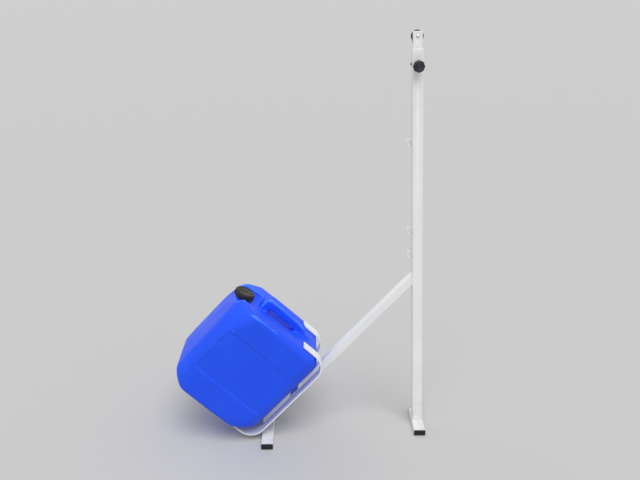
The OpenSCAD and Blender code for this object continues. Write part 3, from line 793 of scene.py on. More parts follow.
class CanisterForm:
    """Distance field of the canister's skin in its own axes."""

    # Side view: radii of the four corners, where the top starts to fall, and the bulge of the bottom
    low_front, low_back, top_back, top_front = 0.092, 0.066, 0.046, 0.068
    level_x = 0.030
    floor_x, floor_chord = -0.066, 0.300

    # How far plain faces lie outside the form, and how much flatter the front is in plan
    side_gap, spare, front_ease = 0.001, 0.003, 0.002

    # Field on a wide side: its two corners, their radius, its edge, and how it fades to the back and the top
    panel = ((-0.142, 0.100), (0.142, 0.277))
    panel_corner, panel_edge = 0.014, 0.0010
    fade_run, fade_foot, fade_rise, fade_share = 0.080, 0.150, 0.120, 0.6

    # Recess round the neck, and how deep the neck's wall and its bore reach into the form
    platform_half, platform_run = 0.064, 0.084
    riser_lean = math.radians(25)
    neck_root, bore_root = 0.012, 0.045

    # Finger trough, the grip that bridges it, and the gap between them
    trough = ((-0.072, -0.053), (0.054, 0.053))
    trough_depth, trough_corner = 0.018, 0.014
    grip_ends = (-0.096, 0.118)
    grip_fall, grip_foot, grip_root = 0.042, 0.004, 0.030
    gap_inset, gap_root, gap_corner = 0.008, 0.070, 0.009

    # Flat facets: a point of each in the side view, its turn towards the wide side and its lean upwards
    facets = (
        ((-0.143, 0.277), math.radians(134), math.radians(16)),
        ((0.176, 0.076), math.radians(45), math.radians(-38)),
        ((-0.156, 0.042), math.radians(135), math.radians(-35)),
        ((0.150, 0.345), math.radians(45), math.radians(35)),
    )

    def __init__(self, sizes):
        self.s = sizes
        self.front = -sizes.depth / 2 - sizes.front_swell
        self.back = sizes.depth / 2
        self.half = sizes.width / 2

    def spared(self, radius):
        """Radius that keeps a corner in place when both its sides move out by the spare."""
        return radius + self.spare * math.sqrt(2) / (math.sqrt(2) - 1)

    def side_view(self, x, z):
        """The box seen from its wide side: swollen front and bottom, falling top."""
        s = self.s
        radii = (self.low_front, self.low_back, self.top_back, self.top_front)
        low = (self.front - self.side_gap, -s.floor_swell - self.side_gap)
        high = (self.back, s.height + self.side_gap)
        d = rounded_field(x, z, low, high, radii)
        big = swell_radius(s.height, s.front_swell)
        d = soft_max(d, np.hypot(x - self.front - big, z - s.height / 2) - big, BLEND["front_swell"])
        fall = s.top_fall / (self.level_x - self.front)
        d = soft_max(d, z - s.height + fall * np.maximum(self.level_x - x, 0), BLEND["top_fall"])
        big = swell_radius(self.floor_chord, s.floor_swell)
        sag = np.hypot(x - self.floor_x, z - big + s.floor_swell) - big
        return soft_max(d, np.minimum(sag, -z), BLEND["floor"])

    def plan_view(self, x, y):
        """The upright edges; the faces themselves lie a little outside the form."""
        r = self.spared(self.s.upright_radius)
        low = (self.front - self.spare, -self.half - self.spare)
        high = (self.back + self.spare, self.half + self.spare)
        d = rounded_field(x, y, low, high, (r, r, r, r))
        rise = self.s.front_swell - self.front_ease
        big = swell_radius(self.s.width - self.s.upright_radius, rise)
        return soft_max(d, np.hypot(x - self.front + self.spare - big, y) - big, BLEND["plan_front"])

    def front_view(self, y, z):
        """The edges along the depth."""
        b, t = self.spared(self.s.base_radius), self.spared(self.s.top_radius)
        low = (-self.half - self.spare, -self.s.floor_swell - self.spare)
        high = (self.half + self.spare, self.s.height + self.spare)
        return rounded_field(y, z, low, high, (b, b, t, t))

    def wide_sides(self, x, y, z):
        """Both swollen wide sides, each with its sunk field."""
        s = self.s
        swell = s.side_swell * ((x / self.back) ** 2 + ((z - s.height / 2) / (s.height / 2)) ** 2) / 2
        field = rounded_field(x, z, self.panel[0], self.panel[1], (self.panel_corner,) * 4)
        sunk = 1 / (1 + np.exp(np.clip(field / self.panel_edge, -30, 30)))
        fading = np.clip(x / self.fade_run, 0, 1) * np.clip((z - self.fade_foot) / self.fade_rise, 0, 1)
        return np.abs(y) - self.half + swell + s.panel_depth * sunk * (1 - self.fade_share * fading)

    def corners(self, x, y, z):
        """Flat facets beside the neck and at the corners of the box."""
        d = np.full(np.shape(x), -1.0)
        for (at_x, at_z), turn, lean in self.facets:
            plane = (x - at_x) * math.cos(turn) + (np.abs(y) - self.half) * math.sin(turn)
            d = np.maximum(d, plane * math.cos(lean) + (z - at_z) * math.sin(lean))
        return d

    def platform(self, x, y, z):
        """Negative inside the recess around the neck."""
        s = self.s
        slope = math.tan(s.platform_tilt)
        above = (z - s.neck_z - (x - s.neck_x) * slope) * math.cos(s.platform_tilt)
        end = s.neck_x + self.platform_run
        end_z = s.neck_z + (end - s.neck_x) * slope
        riser = (x - end) * math.cos(self.riser_lean) - (z - end_z) * math.sin(self.riser_lean)
        walls = soft_max(np.abs(y) - self.platform_half, riser, BLEND["platform_riser"])
        return soft_max(walls, -above, BLEND["platform_floor"])

    def finger_trough(self, x, y, z):
        """Negative inside the trough under the grip."""
        outline = rounded_field(x, y, self.trough[0], self.trough[1], (self.trough_corner,) * 4)
        return soft_max(outline, self.s.height - self.trough_depth - z, BLEND["trough_floor"])

    def handle(self, x, y, z):
        """The grip: steep at the front, level on top, with a ramp at the back and a gap below."""
        s = self.s
        top = s.height + s.handle_rise
        front, back = self.grip_ends
        slope = (s.handle_rise + self.grip_foot) / self.grip_fall
        ramp = (z - top + (x - back + self.grip_fall) * slope) / math.hypot(1, slope)
        d = soft_max(front - x, z - top, BLEND["grip_ends"])
        d = soft_max(d, ramp, BLEND["grip_ends"])
        d = soft_max(d, x - back, BLEND["grip_foot"])
        d = soft_max(d, np.abs(y) - s.handle_width / 2, BLEND["grip_sides"])
        gap_low = (self.trough[0][0] + self.gap_inset, s.height - self.gap_root)
        gap_high = (self.trough[1][0] - self.gap_inset, top - s.handle_thickness)
        gap = rounded_field(x, z, gap_low, gap_high, (self.gap_corner,) * 4)
        return np.maximum(soft_max(d, -gap, BLEND["grip_gap"]), s.height - self.grip_root - z)

    def neck(self, x, y, z):
        """Distance to the neck's outside, and to its bore."""
        s = self.s
        tilt = math.acos(max(-1.0, min(1.0, NECK_UP.dot(BRACE_UP))))
        dx, dz = x - s.neck_x, z - s.neck_z
        across = dx * math.cos(tilt) + dz * math.sin(tilt)
        along = dz * math.cos(tilt) - dx * math.sin(tilt)
        ring = np.hypot(across, y)
        wall = soft_max(ring - s.neck_radius, along - s.neck_length, BLEND["neck_lip"])
        bore = np.maximum(ring - s.bore_radius, -self.bore_root - along)
        return np.maximum(wall, -self.neck_root - along), bore

    def field(self, p):
        """Signed distance, close to zero at the skin."""
        x, y, z = p[..., 0], p[..., 1], p[..., 2]
        d = soft_max(self.plan_view(x, y), self.side_view(x, z), BLEND["box"])
        d = soft_max(d, self.front_view(y, z), BLEND["box"])
        d = soft_max(d, self.wide_sides(x, y, z), BLEND["wide_sides"])
        d = soft_max(d, self.corners(x, y, z), BLEND["facets"])
        d = soft_max(d, -self.platform(x, y, z), BLEND["platform"])
        d = soft_max(d, -self.finger_trough(x, y, z), BLEND["trough"])
        d = soft_min(d, self.handle(x, y, z), BLEND["grip"])
        wall, bore = self.neck(x, y, z)
        d = soft_min(d, wall, BLEND["neck"])
        return np.maximum(d, -bore)


def slope_of(field, points, step=0.0004):
    """Gradient of a field at points."""
    grads = []
    for axis in range(3):
        shift = np.zeros(3)
        shift[axis] = step
        grads.append((field(points + shift) - field(points - shift)) / (2 * step))
    return np.stack(grads, -1)


def crossed_cells(field, low, high, step):
    """Mean crossing and number of each grid cell that the zero surface crosses, and the crossed edges."""
    lines = [np.arange(a, b + step, step) for a, b in zip(low, high)]
    grid = np.stack(np.meshgrid(*lines, indexing="ij"), -1)
    value = field(grid)
    inside = value < 0
    cells = tuple(n - 1 for n in value.shape)
    total = np.zeros(cells + (3,))
    uses = np.zeros(cells)
    crossings = []
    for axis in range(3):
        lower, upper = [slice(None)] * 3, [slice(None)] * 3
        lower[axis], upper[axis] = slice(0, -1), slice(1, None)
        lower, upper = tuple(lower), tuple(upper)
        a, b = value[lower], value[upper]
        crossed = inside[lower] != inside[upper]
        t = np.where(crossed, a / np.where(a == b, 1, a - b), 0)
        spot = grid[lower].copy()
        spot[..., axis] += t * step
        crossings.append((axis, crossed, inside[lower]))
        first, second = [k for k in range(3) if k != axis]
        for i in (0, 1):
            for j in (0, 1):
                cut = [slice(None)] * 3
                cut[first] = slice(i, cells[first] + i)
                cut[second] = slice(j, cells[second] + j)
                weight = crossed[tuple(cut)]
                total += spot[tuple(cut)] * weight[..., None]
                uses += weight
    used = uses > 0
    number = np.full(cells, -1)
    number[used] = np.arange(used.sum())
    return total[used] / uses[used][:, None], number, crossings


def surface_net(field, low, high, step, rounds=5):
    """Vertices and quads of the zero surface of a field, one vertex per crossed cell."""
    points, number, crossings = crossed_cells(field, low, high, step)
    quads = []
    for axis, crossed, solid in crossings:
        u, v = [(1, 2), (2, 0), (0, 1)][axis]
        edges = np.argwhere(crossed)
        keep = (edges[:, u] > 0) & (edges[:, v] > 0)
        keep &= (edges[:, u] < number.shape[u]) & (edges[:, v] < number.shape[v])
        edges = edges[keep]
        corners = []
        for du, dv in ((1, 1), (0, 1), (0, 0), (1, 0)):
            cell = edges.copy()
            cell[:, u] -= du
            cell[:, v] -= dv
            corners.append(number[cell[:, 0], cell[:, 1], cell[:, 2]])
        loop = np.stack(corners, 1)
        outwards = solid[edges[:, 0], edges[:, 1], edges[:, 2]]
        quads.append(np.where(outwards[:, None], loop, loop[:, ::-1]))
    for _ in range(rounds):
        distance = field(points)
        slope = slope_of(field, points)
        size = np.maximum((slope * slope).sum(-1), 0.25)
        move = slope * (distance / size)[:, None]
        points = points - np.clip(move, -step / 2, step / 2)
    return points, np.concatenate(quads)


def relaxed(points, quads, rounds=3):
    """Evens out a net without shrinking it: each round pulls in by a share and pushes back by a bit more."""
    ends = np.concatenate([quads[:, [i, (i + 1) % 4]] for i in range(4)])
    ends = np.unique(np.sort(ends, axis=1), axis=0)
    count = len(points)
    uses = np.bincount(ends.ravel(), minlength=count)[:, None]
    for _ in range(rounds):
        for share_moved in (0.50, -0.52):
            total = np.zeros_like(points)
            for a, b in ((0, 1), (1, 0)):
                for axis in range(3):
                    total[:, axis] += np.bincount(ends[:, a], points[ends[:, b], axis], minlength=count)
            points = points + share_moved * (total / np.maximum(uses, 1) - points)
    return points


def raise_seam(mesh, form, height):
    """Cuts a narrow band into the mesh at the mould's parting plane and raises it, clear of the neck."""
    crest, foot, reach, clear = 0.0005, 0.0016, 0.012, 0.004
    shell = bmesh.new()
    shell.from_mesh(mesh)
    for y in (-foot, -crest, crest, foot):
        near = [f for f in shell.faces if abs(f.calc_center_median().y) < reach]
        edges = {e for f in near for e in f.edges}
        corners = {v for f in near for v in f.verts}
        bmesh.ops.bisect_plane(
            shell, geom=list(corners) + list(edges) + near, dist=1e-6, plane_co=ACROSS * y, plane_no=ACROSS
        )
    band = [v for v in shell.verts if abs(v.co.y) < crest + 1e-5]
    points = np.array([v.co for v in band])
    slope = slope_of(form.field, points)
    slope /= np.maximum(np.linalg.norm(slope, axis=1), 1e-9)[:, None]
    wall, bore = form.neck(points[:, 0], points[:, 1], points[:, 2])
    free = np.minimum(np.abs(wall), np.abs(bore)) > clear
    for vertex, direction, is_free in zip(band, slope, free):
        if is_free:
            vertex.co += Vector(direction) * height
    shell.to_mesh(mesh)
    shell.free()


def canister_matrix(sizes):
    """From the canister's own axes to the shared frame."""
    origin = NECK_FOOT - BRACE_UP * sizes.neck_z + LIFT * sizes.neck_x
    return basis(-LIFT, ACROSS, BRACE_UP, origin)


def build_canister(sizes):
    """The blow-moulded skin with its handle, neck, sunk fields and seam."""
    form = CanisterForm(sizes)
    margin = 0.012
    low = (form.front - margin, -form.half - margin, -sizes.floor_swell - margin)
    high = (form.back + margin, form.half + margin, sizes.height + sizes.handle_rise + margin)
    points, quads = surface_net(form.field, low, high, sizes.mesh_step)
    points = relaxed(points, quads)
    mesh = bpy.data.meshes.new("canister_skin")
    mesh.from_pydata(points.tolist(), [], quads.tolist())
    raise_seam(mesh, form, sizes.seam_height)
    mesh.transform(canister_matrix(sizes))
    dress(mesh, BROAD_BEND, math.radians(50))
    add_piece(mesh, "canister", "blue_polyethylene", ["canister_body"])


# ---- fittings ------------------------------------------------------------------


def build_cap(sizes):
    """Screw cap with grip ribs, a sunk top and a bar across it."""
    r = sizes.cap_diameter / 2
    low, top = sizes.cap_lift, sizes.cap_lift + sizes.cap_height
    wall, bore, skirt, soft = 0.003, 0.0274, r - 0.0016, 0.0009
    rib, rib_foot, rib_spare = 0.0017, 0.001, 0.005
    sunk, sunk_radius = 0.0014, r - 0.0092
    profile = [
        (0, top - wall), (bore, top - wall), (bore, low + soft), (bore + soft, low), (skirt - soft, low),
        (skirt, low + soft), (skirt, top - 0.0046), (skirt - 0.0004, top - 0.0030),
        (skirt - 0.0014, top - 0.0013), (skirt - 0.0030, top - 0.0003), (r - 0.0062, top),
        (r - 0.0084, top), (r - 0.0089, top - 0.0002), (sunk_radius, top - 0.0012), (r - 0.0100, top - sunk),
        (0, top - sunk),
    ]
    body = mesh_of("cap_body", *lathe(profile, 96))
    bar_width, corner = 0.008, 0.0015
    levels = ((top - 0.0018, 0.0), (top - 0.0004, 0.0), (top - 0.0001, 0.0003), (top, 0.0009))
    levels = [(level, inset, corner) for level, inset in levels]
    bar = mesh_of("cap_bar", *loft(block_loops(2 * sunk_radius, bar_width, levels, 4)))
    mesh = grown(
        "canister_cap_ribbed", joined("cap_form", [body, bar]), rib_ring_tree(), count=sizes.cap_ribs,
        ring_radius=r - rib, rib_radius=rib, rib_height=sizes.cap_height - rib_spare, foot=low + rib_foot,
        material=finish_of("cap_plastic"),
    )
    mesh.transform(basis(ACROSS.cross(NECK_UP), ACROSS, NECK_UP, NECK_FOOT))
    dress(mesh, FINE_BEND)
    add_piece(mesh, "cap", "black_plastic", ["canister_cap"], "cap_plastic")


def lobed_radius(angle, sizes):
    """Outline of the knob's grip at an angle: a round core with shallow lobes."""
    lobe_share, valley, blend, inset = 0.15, 0.0016, 0.0016, 0.0002
    r = sizes.knob_diameter / 2
    lobe = sizes.knob_diameter * lobe_share
    centre, core = r - lobe, r - valley
    pitch = 2 * math.pi / sizes.knob_lobes
    off = (angle + pitch / 2) % pitch - pitch / 2
    reach = lobe * lobe - (centre * math.sin(off)) ** 2
    outer = centre * math.cos(off) + math.sqrt(reach) if reach > 0 else 0.0
    return float(soft_max(np.float64(outer), np.float64(core), blend)) - inset


def build_knob(sizes):
    """Clamp knob: a plain hub under a lobed grip with a domed crown."""
    r = sizes.knob_diameter / 2
    hub, hub_top, body, blend = 0.0085, 0.006, 0.015, 0.0014
    crown = [
        (0.0000, r - 0.0022), (0.0004, r - 0.0012), (0.0012, r - 0.0004), (0.0024, r + 0.0006),
        (0.0050, r + 0.0010), (0.0080, r + 0.0006), (0.0100, r - 0.0004), (0.0118, r - 0.0016),
        (0.0132, r - 0.0034), (0.0141, r - 0.0056), (0.0146, r - 0.0080), (0.0149, r - 0.0110),
        (body, r - 0.0150),
    ]
    segments = 144
    turns = [2 * math.pi * i / segments for i in range(segments)]
    outline = [lobed_radius(a, sizes) for a in turns]
    foot = ((0.0, hub - 0.0006), (0.0006, hub), (hub_top - 0.0008, hub), (hub_top, hub + 0.0008))
    rings = [(height, [radius] * segments) for height, radius in foot]
    for height, limit in crown:
        widths = [float(soft_min(np.float64(o), np.float64(limit), blend)) for o in outline]
        rings.append((hub_top + height, widths))
    loops = [
        [(w * math.cos(a), w * math.sin(a), height) for a, w in zip(turns, widths)]
        for height, widths in rings
    ]
    mesh = mesh_of("clamp_knob_grip", *loft(loops))
    mesh.transform(basis(ALONG_FLOOR, UPRIGHT, -ACROSS, KNOB_FOOT - ACROSS * sizes.knob_stand))
    dress(mesh, MOULDED_BEND)
    add_piece(mesh, "clamp_screw", "black_plastic", ["clamp_knob"], "knob_plastic")


def eye_path(half, drop):
    """Closed oval of a cord eye."""
    return arc(-half, drop, half, 0, 180, 16) + arc(-half, -drop, half, 180, 180, 16)


def pigtail_path(half):
    """Open hook that ends inside its own curl."""
    curl, curl_z, straight_z = 0.0036, -0.004, 0.001
    bend_z, sweep, sweep_z, end_x = 0.006, 0.0085, -0.006, 0.0032
    path = arc(-curl, curl_z, curl, 180, 180, 14) + [(0, straight_z), (0, bend_z)]
    path += arc(-half, bend_z, half, 0, 180, 18)[1:] + [(-2 * half, 0.0)]
    return path + arc(-2 * half + sweep, sweep_z, sweep, 180, 90, 10) + [(end_x, sweep_z - sweep)]


def build_hooks(steel, sizes):
    """The three wire cord hooks on the post's back: a curled one, and two eyes that each have a pad."""
    half, drop, gap = 0.006, 0.004, 0.001
    weld = sizes.hook_wire / 2 + gap
    pad_height, pad_width, corner = 0.010, 0.006, 0.0012
    pad_levels = ((0.0004, 0.0006, corner), (0.0010, 0.0, corner), (weld - 0.0001, 0.0, corner))
    for name, (height, _) in HOOKS.items():
        is_eye = name != "upper"
        path = eye_path(half, drop) if is_eye else pigtail_path(half)
        parts = [wire_mesh(f"hook_wire_{name}", path, sizes.hook_wire / 2, is_eye)]
        if is_eye:
            pad = block_loops(pad_height, pad_width, pad_levels, 4)
            pad = [[(x, y, z) for z, y, x in loop] for loop in pad]
            parts.append(mesh_of(f"hook_pad_{name}", *loft(pad)))
        mesh = joined(f"cord_hook_{name}_wire", parts)
        foot = POST_UP * (height / POST_UP.z) - POST_OUT * (steel.post_width / 2 + weld)
        mesh.transform(basis(POST_OUT, ACROSS, POST_UP, foot))
        dress(mesh, FINE_BEND)
        add_piece(mesh, "base", "white_enamel", [f"cord_hook_{name}"])


def build_foot_caps(sizes):
    """The four plugs with flanges that close the foot bars."""
    flange, plug, wall = sizes.foot_cap_flange, sizes.foot_cap_plug, 0.0037
    levels = (
        (-plug, wall, 0.0008), (-0.004, wall, 0.0008), (-0.0005, wall, 0.0008), (0.0, 0.0, 0.003),
        (flange - 0.0020, 0.0, 0.003), (flange - 0.0009, 0.0004, 0.003), (flange - 0.0002, 0.0013, 0.003),
        (flange, 0.0023, 0.0025), (flange - 0.0004, 0.0036, 0.0018),
    )
    for bar in ("post_foot", "strut_foot"):
        low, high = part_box(f"{bar}_bar")
        loops = block_loops(high.x - low.x, high.z - low.z, levels)
        for tag, side, end in (("near", -1, low.y), ("far", 1, high.y)):
            mesh = mesh_of(f"{bar}_plug_{tag}", *loft(loops))
            outwards = ACROSS * side
            middle = Vector(((low.x + high.x) / 2, end, (low.z + high.z) / 2))
            mesh.transform(basis(UPRIGHT.cross(outwards), UPRIGHT, outwards, middle))
            dress(mesh, MOULDED_BEND)
            add_piece(mesh, "base", "black_plastic", [f"{bar}_cap_{tag}"])


# ---- steel ---------------------------------------------------------------------

# How far worn edges reach on tubes and on bars
TUBE_BAND, BAR_BAND = 0.0042, 0.0016

# Each piece's body, the reach of its worn edges, and the directions across which it has edges
STEEL_PIECES = {
    "post_foot_bar": ("base", TUBE_BAND, (ALONG_FLOOR, UPRIGHT, ACROSS)),
    "strut_foot_bar": ("base", TUBE_BAND, (ALONG_FLOOR, UPRIGHT, ACROSS)),
    "post_tube": ("base", TUBE_BAND, (POST_OUT, ACROSS, POST_UP)),
    "strut_tube": ("base", TUBE_BAND, (LIFT, ACROSS, UPRIGHT, POST_OUT)),
    "cradle_bar_near": ("base", BAR_BAND, (ACROSS, LIFT)),
    "cradle_bar_far": ("base", BAR_BAND, (ACROSS, LIFT)),
    "cradle_cross_bar": ("base", BAR_BAND, (BRACE_UP, ACROSS)),
    "clamp_nut": ("base", BAR_BAND, ()),
    "mast_tube": ("mast", TUBE_BAND, (POST_OUT, ACROSS, POST_UP)),
}


def soften_edges(node, radius, band, directions):
    """A copy of a sawn or sheared steel piece with small rounded edges and a cut beside each for its wear."""
    merge, flat, crisp = 2e-5, math.radians(0.6), math.radians(35)
    form = bmesh.new()
    form.from_mesh(frame["nodes"][node].data)
    bmesh.ops.remove_doubles(form, verts=form.verts, dist=merge)
    bmesh.ops.dissolve_limit(
        form, angle_limit=flat, verts=form.verts, edges=form.edges, delimit={"NORMAL"}
    )
    for direction in directions:
        places = [v.co.dot(direction) for v in form.verts]
        for place_at in (min(places) + band, max(places) - band):
            bmesh.ops.bisect_plane(
                form, geom=form.verts[:] + form.edges[:] + form.faces[:], dist=1e-6,
                plane_co=direction * place_at, plane_no=direction,
            )
    sharp = [e for e in form.edges if len(e.link_faces) == 2 and e.calc_face_angle(0) > crisp]
    bmesh.ops.bevel(
        form, geom=sharp, offset=radius, offset_type="OFFSET", segments=2, profile=0.5, affect="EDGES",
        clamp_overlap=True,
    )
    bmesh.ops.triangulate(form, faces=[f for f in form.faces if len(f.verts) > 4])
    mesh = bpy.data.meshes.new(f"{node}_steel")
    form.to_mesh(mesh)
    form.free()
    dress(mesh, MOULDED_BEND)
    return mesh


def build_steel(sizes):
    """Soft-edged painted tubes and bars in the place of their plain solids."""
    for node, (body, band, directions) in STEEL_PIECES.items():
        mesh = soften_edges(node, sizes.edge_radius, band, directions)
        add_piece(mesh, body, "white_enamel", [node])


def edge_lines(lines):
    """A mesh of bare edges through lists of points."""
    points, edges = [], []
    for line in lines:
        start = len(points)
        points += [tuple(p) for p in line]
        edges += [(i, i + 1) for i in range(start, len(points) - 1)]
    mesh = bpy.data.meshes.new("weld_lines")
    mesh.from_pydata(points, edges, [])
    return mesh


def rectangle(centre, along, across, half_along, half_across, corner=0.003):
    """A closed line round a rectangle with cut corners."""
    line = []
    for a, b in ((1, 1), (-1, 1), (-1, -1), (1, -1)):
        first = (a * (half_along - corner), b * half_across)
        second = (a * half_along, b * (half_across - corner))
        pair = (second, first) if a * b > 0 else (first, second)
        line += [centre + along * p + across * q for p, q in pair]
    return line + [line[0]]


def weld_lines(sizes):
    """Where the frame's pieces are welded together."""
    bead_gap, nut_radius, hook_half = 0.0003, 0.0082, 0.0030
    brace_height, brace_cut = 0.583, 0.0274
    bar_half, bar_thickness = 0.020, 0.0025
    half_post, half_brace = sizes.post_width / 2, sizes.brace_width / 2

    foot = UPRIGHT * sizes.foot_height - POST_OUT * (sizes.foot_height * -POST_UP.x)
    lines = [rectangle(foot, ALONG_FLOOR, ACROSS, half_post + bead_gap, half_post + bead_gap)]

    toe_low, toe_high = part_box("strut_foot_bar")
    toe = Vector((toe_low.x, 0, toe_high.z))
    cut_end = toe + ALONG_FLOOR * brace_cut
    for side in (-1, 1):
        edge = ACROSS * side * (half_brace + bead_gap)
        lines.append([toe + edge, toe + edge + ALONG_FLOOR * brace_cut])
    lines.append([cut_end + ACROSS * (half_brace * side) for side in (-1, 1)])

    lean_in = BRACE_UP.dot(POST_OUT)
    along_post = brace_height / POST_UP.z - half_post / lean_in * BRACE_UP.dot(POST_UP)
    centre = POST_UP * along_post - POST_OUT * half_post
    lines.append(rectangle(centre, POST_UP, ACROSS, half_brace / lean_in, half_brace))

    low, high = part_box("cradle_cross_bar")
    middle = (low + high) / 2
    up_bar = BRACE_UP * bar_half
    for side in (-1, 1):
        for face in (-1, 1):
            seam = middle + ACROSS * side * (high.y - low.y) / 2 + LIFT * bar_thickness * face
            lines.append([seam - up_bar * 0.96, seam + up_bar * 0.96])
        edge = middle - LIFT * bar_thickness + ACROSS * side * half_brace
        lines.append([edge - up_bar, edge + up_bar])
        end = middle - LIFT * bar_thickness + up_bar * side
        lines.append([end - ACROSS * half_brace * 0.9, end + ACROSS * half_brace * 0.9])

    for height, welds in HOOKS.values():
        face = POST_UP * (height / POST_UP.z) - POST_OUT * half_post
        for along in welds:
            seam = face + POST_UP * along
            lines.append([seam - ACROSS * hook_half, seam + ACROSS * hook_half])

    turns = [math.radians(60 * k) for k in range(7)]
    lines.append([KNOB_FOOT + Vector((math.cos(a), 0, math.sin(a))) * nut_radius for a in turns])
    return lines


def build_welds(sizes):
    """Painted weld beads at every joint of the frame."""
    mesh = grown(
        "weld_beads", edge_lines(weld_lines(sizes)), weld_bead_tree(), pitch=sizes.bead_pitch,
        radius=sizes.bead_radius, seed=7, material=finish_of("white_enamel"),
    )
    add_piece(mesh, "base", "white_enamel")


# ---- other fittings and the stage ----------------------------------------------


def finish_carried_nodes():
    """Gives every construction piece that still shows its own finish."""
    slots = {row["node"]: row["material_slot"] for row in frame["record"]["subparts"]}
    for name, node in frame["nodes"].items():
        if node.hide_render:
            continue
        material = finish_of(slots[name])
        if not node.material_slots:
            node.data.materials.append(material)
        for slot in node.material_slots:
            slot.material = material


def build_floor(sizes):
    """Large plain floor under the object."""
    half = sizes.floor_size / 2
    corners = [(-half, -half, 0), (half, -half, 0), (half, half, 0), (-half, half, 0)]
    mesh = bpy.data.meshes.new("stage_floor")
    mesh.from_pydata(corners, [], [(0, 1, 2, 3)])
    mesh.materials.append(stage_floor(sizes.floor_grey))
    linked("stage_floor", mesh)


def build_world(sizes):
    """White surround for the eye and for reflections, softer as a light."""
    world = bpy.data.worlds.new("studio_surround")
    world.use_nodes = True
    tree = world.node_tree
    sky = tree.nodes["Background"]
    sky.inputs["Color"].default_value = (1, 1, 1, 1)
    path = add(tree, "ShaderNodeLightPath").outputs
    seen = maths(tree, "MAXIMUM", path["Is Camera Ray"], path["Is Glossy Ray"])
    seen = maths(tree, "MAXIMUM", seen, path["Is Transmission Ray"])
    tree.links.new(remap(tree, seen, 0, 1, sizes.ambient, 1.0), sky.inputs["Strength"])
    bpy.context.scene.world = world


def add_sun(name, towards, strength, softness):
    """A soft far light that stands in a direction."""
    lamp = bpy.data.lights.new(name, "SUN")
    lamp.energy = strength
    lamp.angle = softness
    linked(name, lamp).rotation_euler = Vector(towards).to_track_quat("Z", "Y").to_euler()


def build_camera(sizes):
    """Camera by its place and three turns."""
    pitch, yaw, roll = sizes.pitch, sizes.yaw, sizes.roll
    ahead = Vector((math.sin(yaw) * math.cos(pitch), math.cos(yaw) * math.cos(pitch), -math.sin(pitch)))
    level = Vector((math.cos(yaw), -math.sin(yaw), 0))
    plumb = ahead.cross(level)
    right = level * math.cos(roll) + plumb * math.sin(roll)
    down = plumb * math.cos(roll) - level * math.sin(roll)
    data = bpy.data.cameras.new("view_camera")
    data.sensor_width = SENSOR_WIDTH
    data.lens = sizes.focal_pixels * SENSOR_WIDTH / PAGE_WIDTH
    data.clip_end = VIEW_REACH
    camera = linked("view_camera", data)
    camera.matrix_world = basis(right, -down, -ahead, Vector(sizes.camera_place))
    bpy.context.scene.camera = camera


# ---- operators, panel ----------------------------------------------------------


class NETPOST_OT_canister(bpy.types.Operator):
    """Build the canister's moulded skin"""

    bl_idname = "netpost.canister"
    bl_label = "Canister"

    def execute(self, context):
        build_canister(context.scene.net_post_canister)
        return {"FINISHED"}


class NETPOST_OT_cap(bpy.types.Operator):
    """Build the ribbed screw cap"""

    bl_idname = "netpost.cap"
    bl_label = "Screw cap"

    def execute(self, context):
        build_cap(context.scene.net_post_fittings)
        return {"FINISHED"}


class NETPOST_OT_knob(bpy.types.Operator):
    """Build the lobed clamp knob"""

    bl_idname = "netpost.knob"
    bl_label = "Clamp knob"

    def execute(self, context):
        build_knob(context.scene.net_post_fittings)
        return {"FINISHED"}


class NETPOST_OT_hooks(bpy.types.Operator):
    """Build the three wire cord hooks"""

    bl_idname = "netpost.hooks"
    bl_label = "Cord hooks"

    def execute(self, context):
        build_hooks(context.scene.net_post_steel, context.scene.net_post_fittings)
        return {"FINISHED"}


class NETPOST_OT_foot_caps(bpy.types.Operator):
    """Build the end caps of the foot bars"""

    bl_idname = "netpost.foot_caps"
    bl_label = "End caps"

    def execute(self, context):
        build_foot_caps(context.scene.net_post_fittings)
        return {"FINISHED"}


class NETPOST_OT_steel(bpy.types.Operator):
    """Build the soft-edged tubes and bars"""

    bl_idname = "netpost.steel"
    bl_label = "Tubes and bars"

    def execute(self, context):
        build_steel(context.scene.net_post_steel)
        return {"FINISHED"}


class NETPOST_OT_welds(bpy.types.Operator):
    """Build the weld beads"""

    bl_idname = "netpost.welds"
    bl_label = "Weld beads"

    def execute(self, context):
        build_welds(context.scene.net_post_steel)
        return {"FINISHED"}


class NETPOST_OT_carried(bpy.types.Operator):
    """Finish the construction pieces that stay as they are"""

    bl_idname = "netpost.carried"
    bl_label = "Other fittings"

    def execute(self, context):
        finish_carried_nodes()
        return {"FINISHED"}


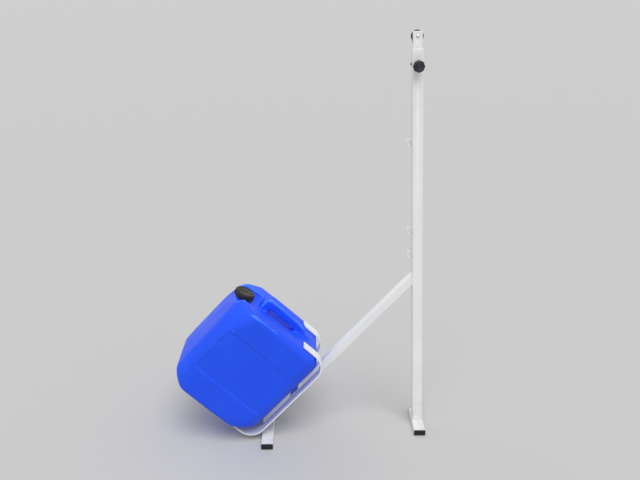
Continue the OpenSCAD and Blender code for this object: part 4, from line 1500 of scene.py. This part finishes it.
class NETPOST_OT_stage(bpy.types.Operator):
    """Build the floor, the light and the camera"""

    bl_idname = "netpost.stage"
    bl_label = "Stage"

    def execute(self, context):
        sizes = context.scene.net_post_stage
        build_floor(sizes)
        build_world(sizes)
        add_sun("key_light", KEY_FROM, sizes.key_strength, sizes.softness)
        add_sun("rim_light", RIM_FROM, sizes.rim_strength, sizes.softness)
        build_camera(sizes)
        context.scene.view_settings.view_transform = "Standard"
        return {"FINISHED"}


OPERATORS = (
    NETPOST_OT_canister, NETPOST_OT_cap, NETPOST_OT_knob, NETPOST_OT_hooks, NETPOST_OT_foot_caps,
    NETPOST_OT_steel, NETPOST_OT_welds, NETPOST_OT_carried, NETPOST_OT_stage,
)


class NETPOST_PT_build(bpy.types.Panel):
    """Lists the pieces in the order in which they are built"""

    bl_label = "Net post"
    bl_idname = "NETPOST_PT_build"
    bl_space_type = "VIEW_3D"
    bl_region_type = "UI"
    bl_category = "Net post"

    def draw(self, context):
        for operator in OPERATORS:
            self.layout.operator(operator.bl_idname)
        for group in SETTINGS:
            box = self.layout.box()
            for name in SETTINGS[group].__annotations__:
                box.prop(getattr(context.scene, group), name)


SETTINGS = {
    "net_post_canister": CanisterSettings,
    "net_post_fittings": FittingSettings,
    "net_post_steel": SteelSettings,
    "net_post_stage": StageSettings,
}


def register():
    """Registers the settings, the operators and the panel."""
    for name, group in SETTINGS.items():
        bpy.utils.register_class(group)
        setattr(bpy.types.Scene, name, PointerProperty(type=group))
    for operator in OPERATORS:
        bpy.utils.register_class(operator)
    bpy.utils.register_class(NETPOST_PT_build)


def unregister():
    """Takes back what register() did."""
    bpy.utils.unregister_class(NETPOST_PT_build)
    for operator in reversed(OPERATORS):
        bpy.utils.unregister_class(operator)
    for name, group in SETTINGS.items():
        delattr(bpy.types.Scene, name)
        bpy.utils.unregister_class(group)


def main():
    """Builds every piece in order."""
    register()
    bpy.ops.netpost.canister()
    bpy.ops.netpost.cap()
    bpy.ops.netpost.knob()
    bpy.ops.netpost.hooks()
    bpy.ops.netpost.foot_caps()
    bpy.ops.netpost.steel()
    bpy.ops.netpost.welds()
    bpy.ops.netpost.carried()
    bpy.ops.netpost.stage()


if __name__ == "__main__":
    main()
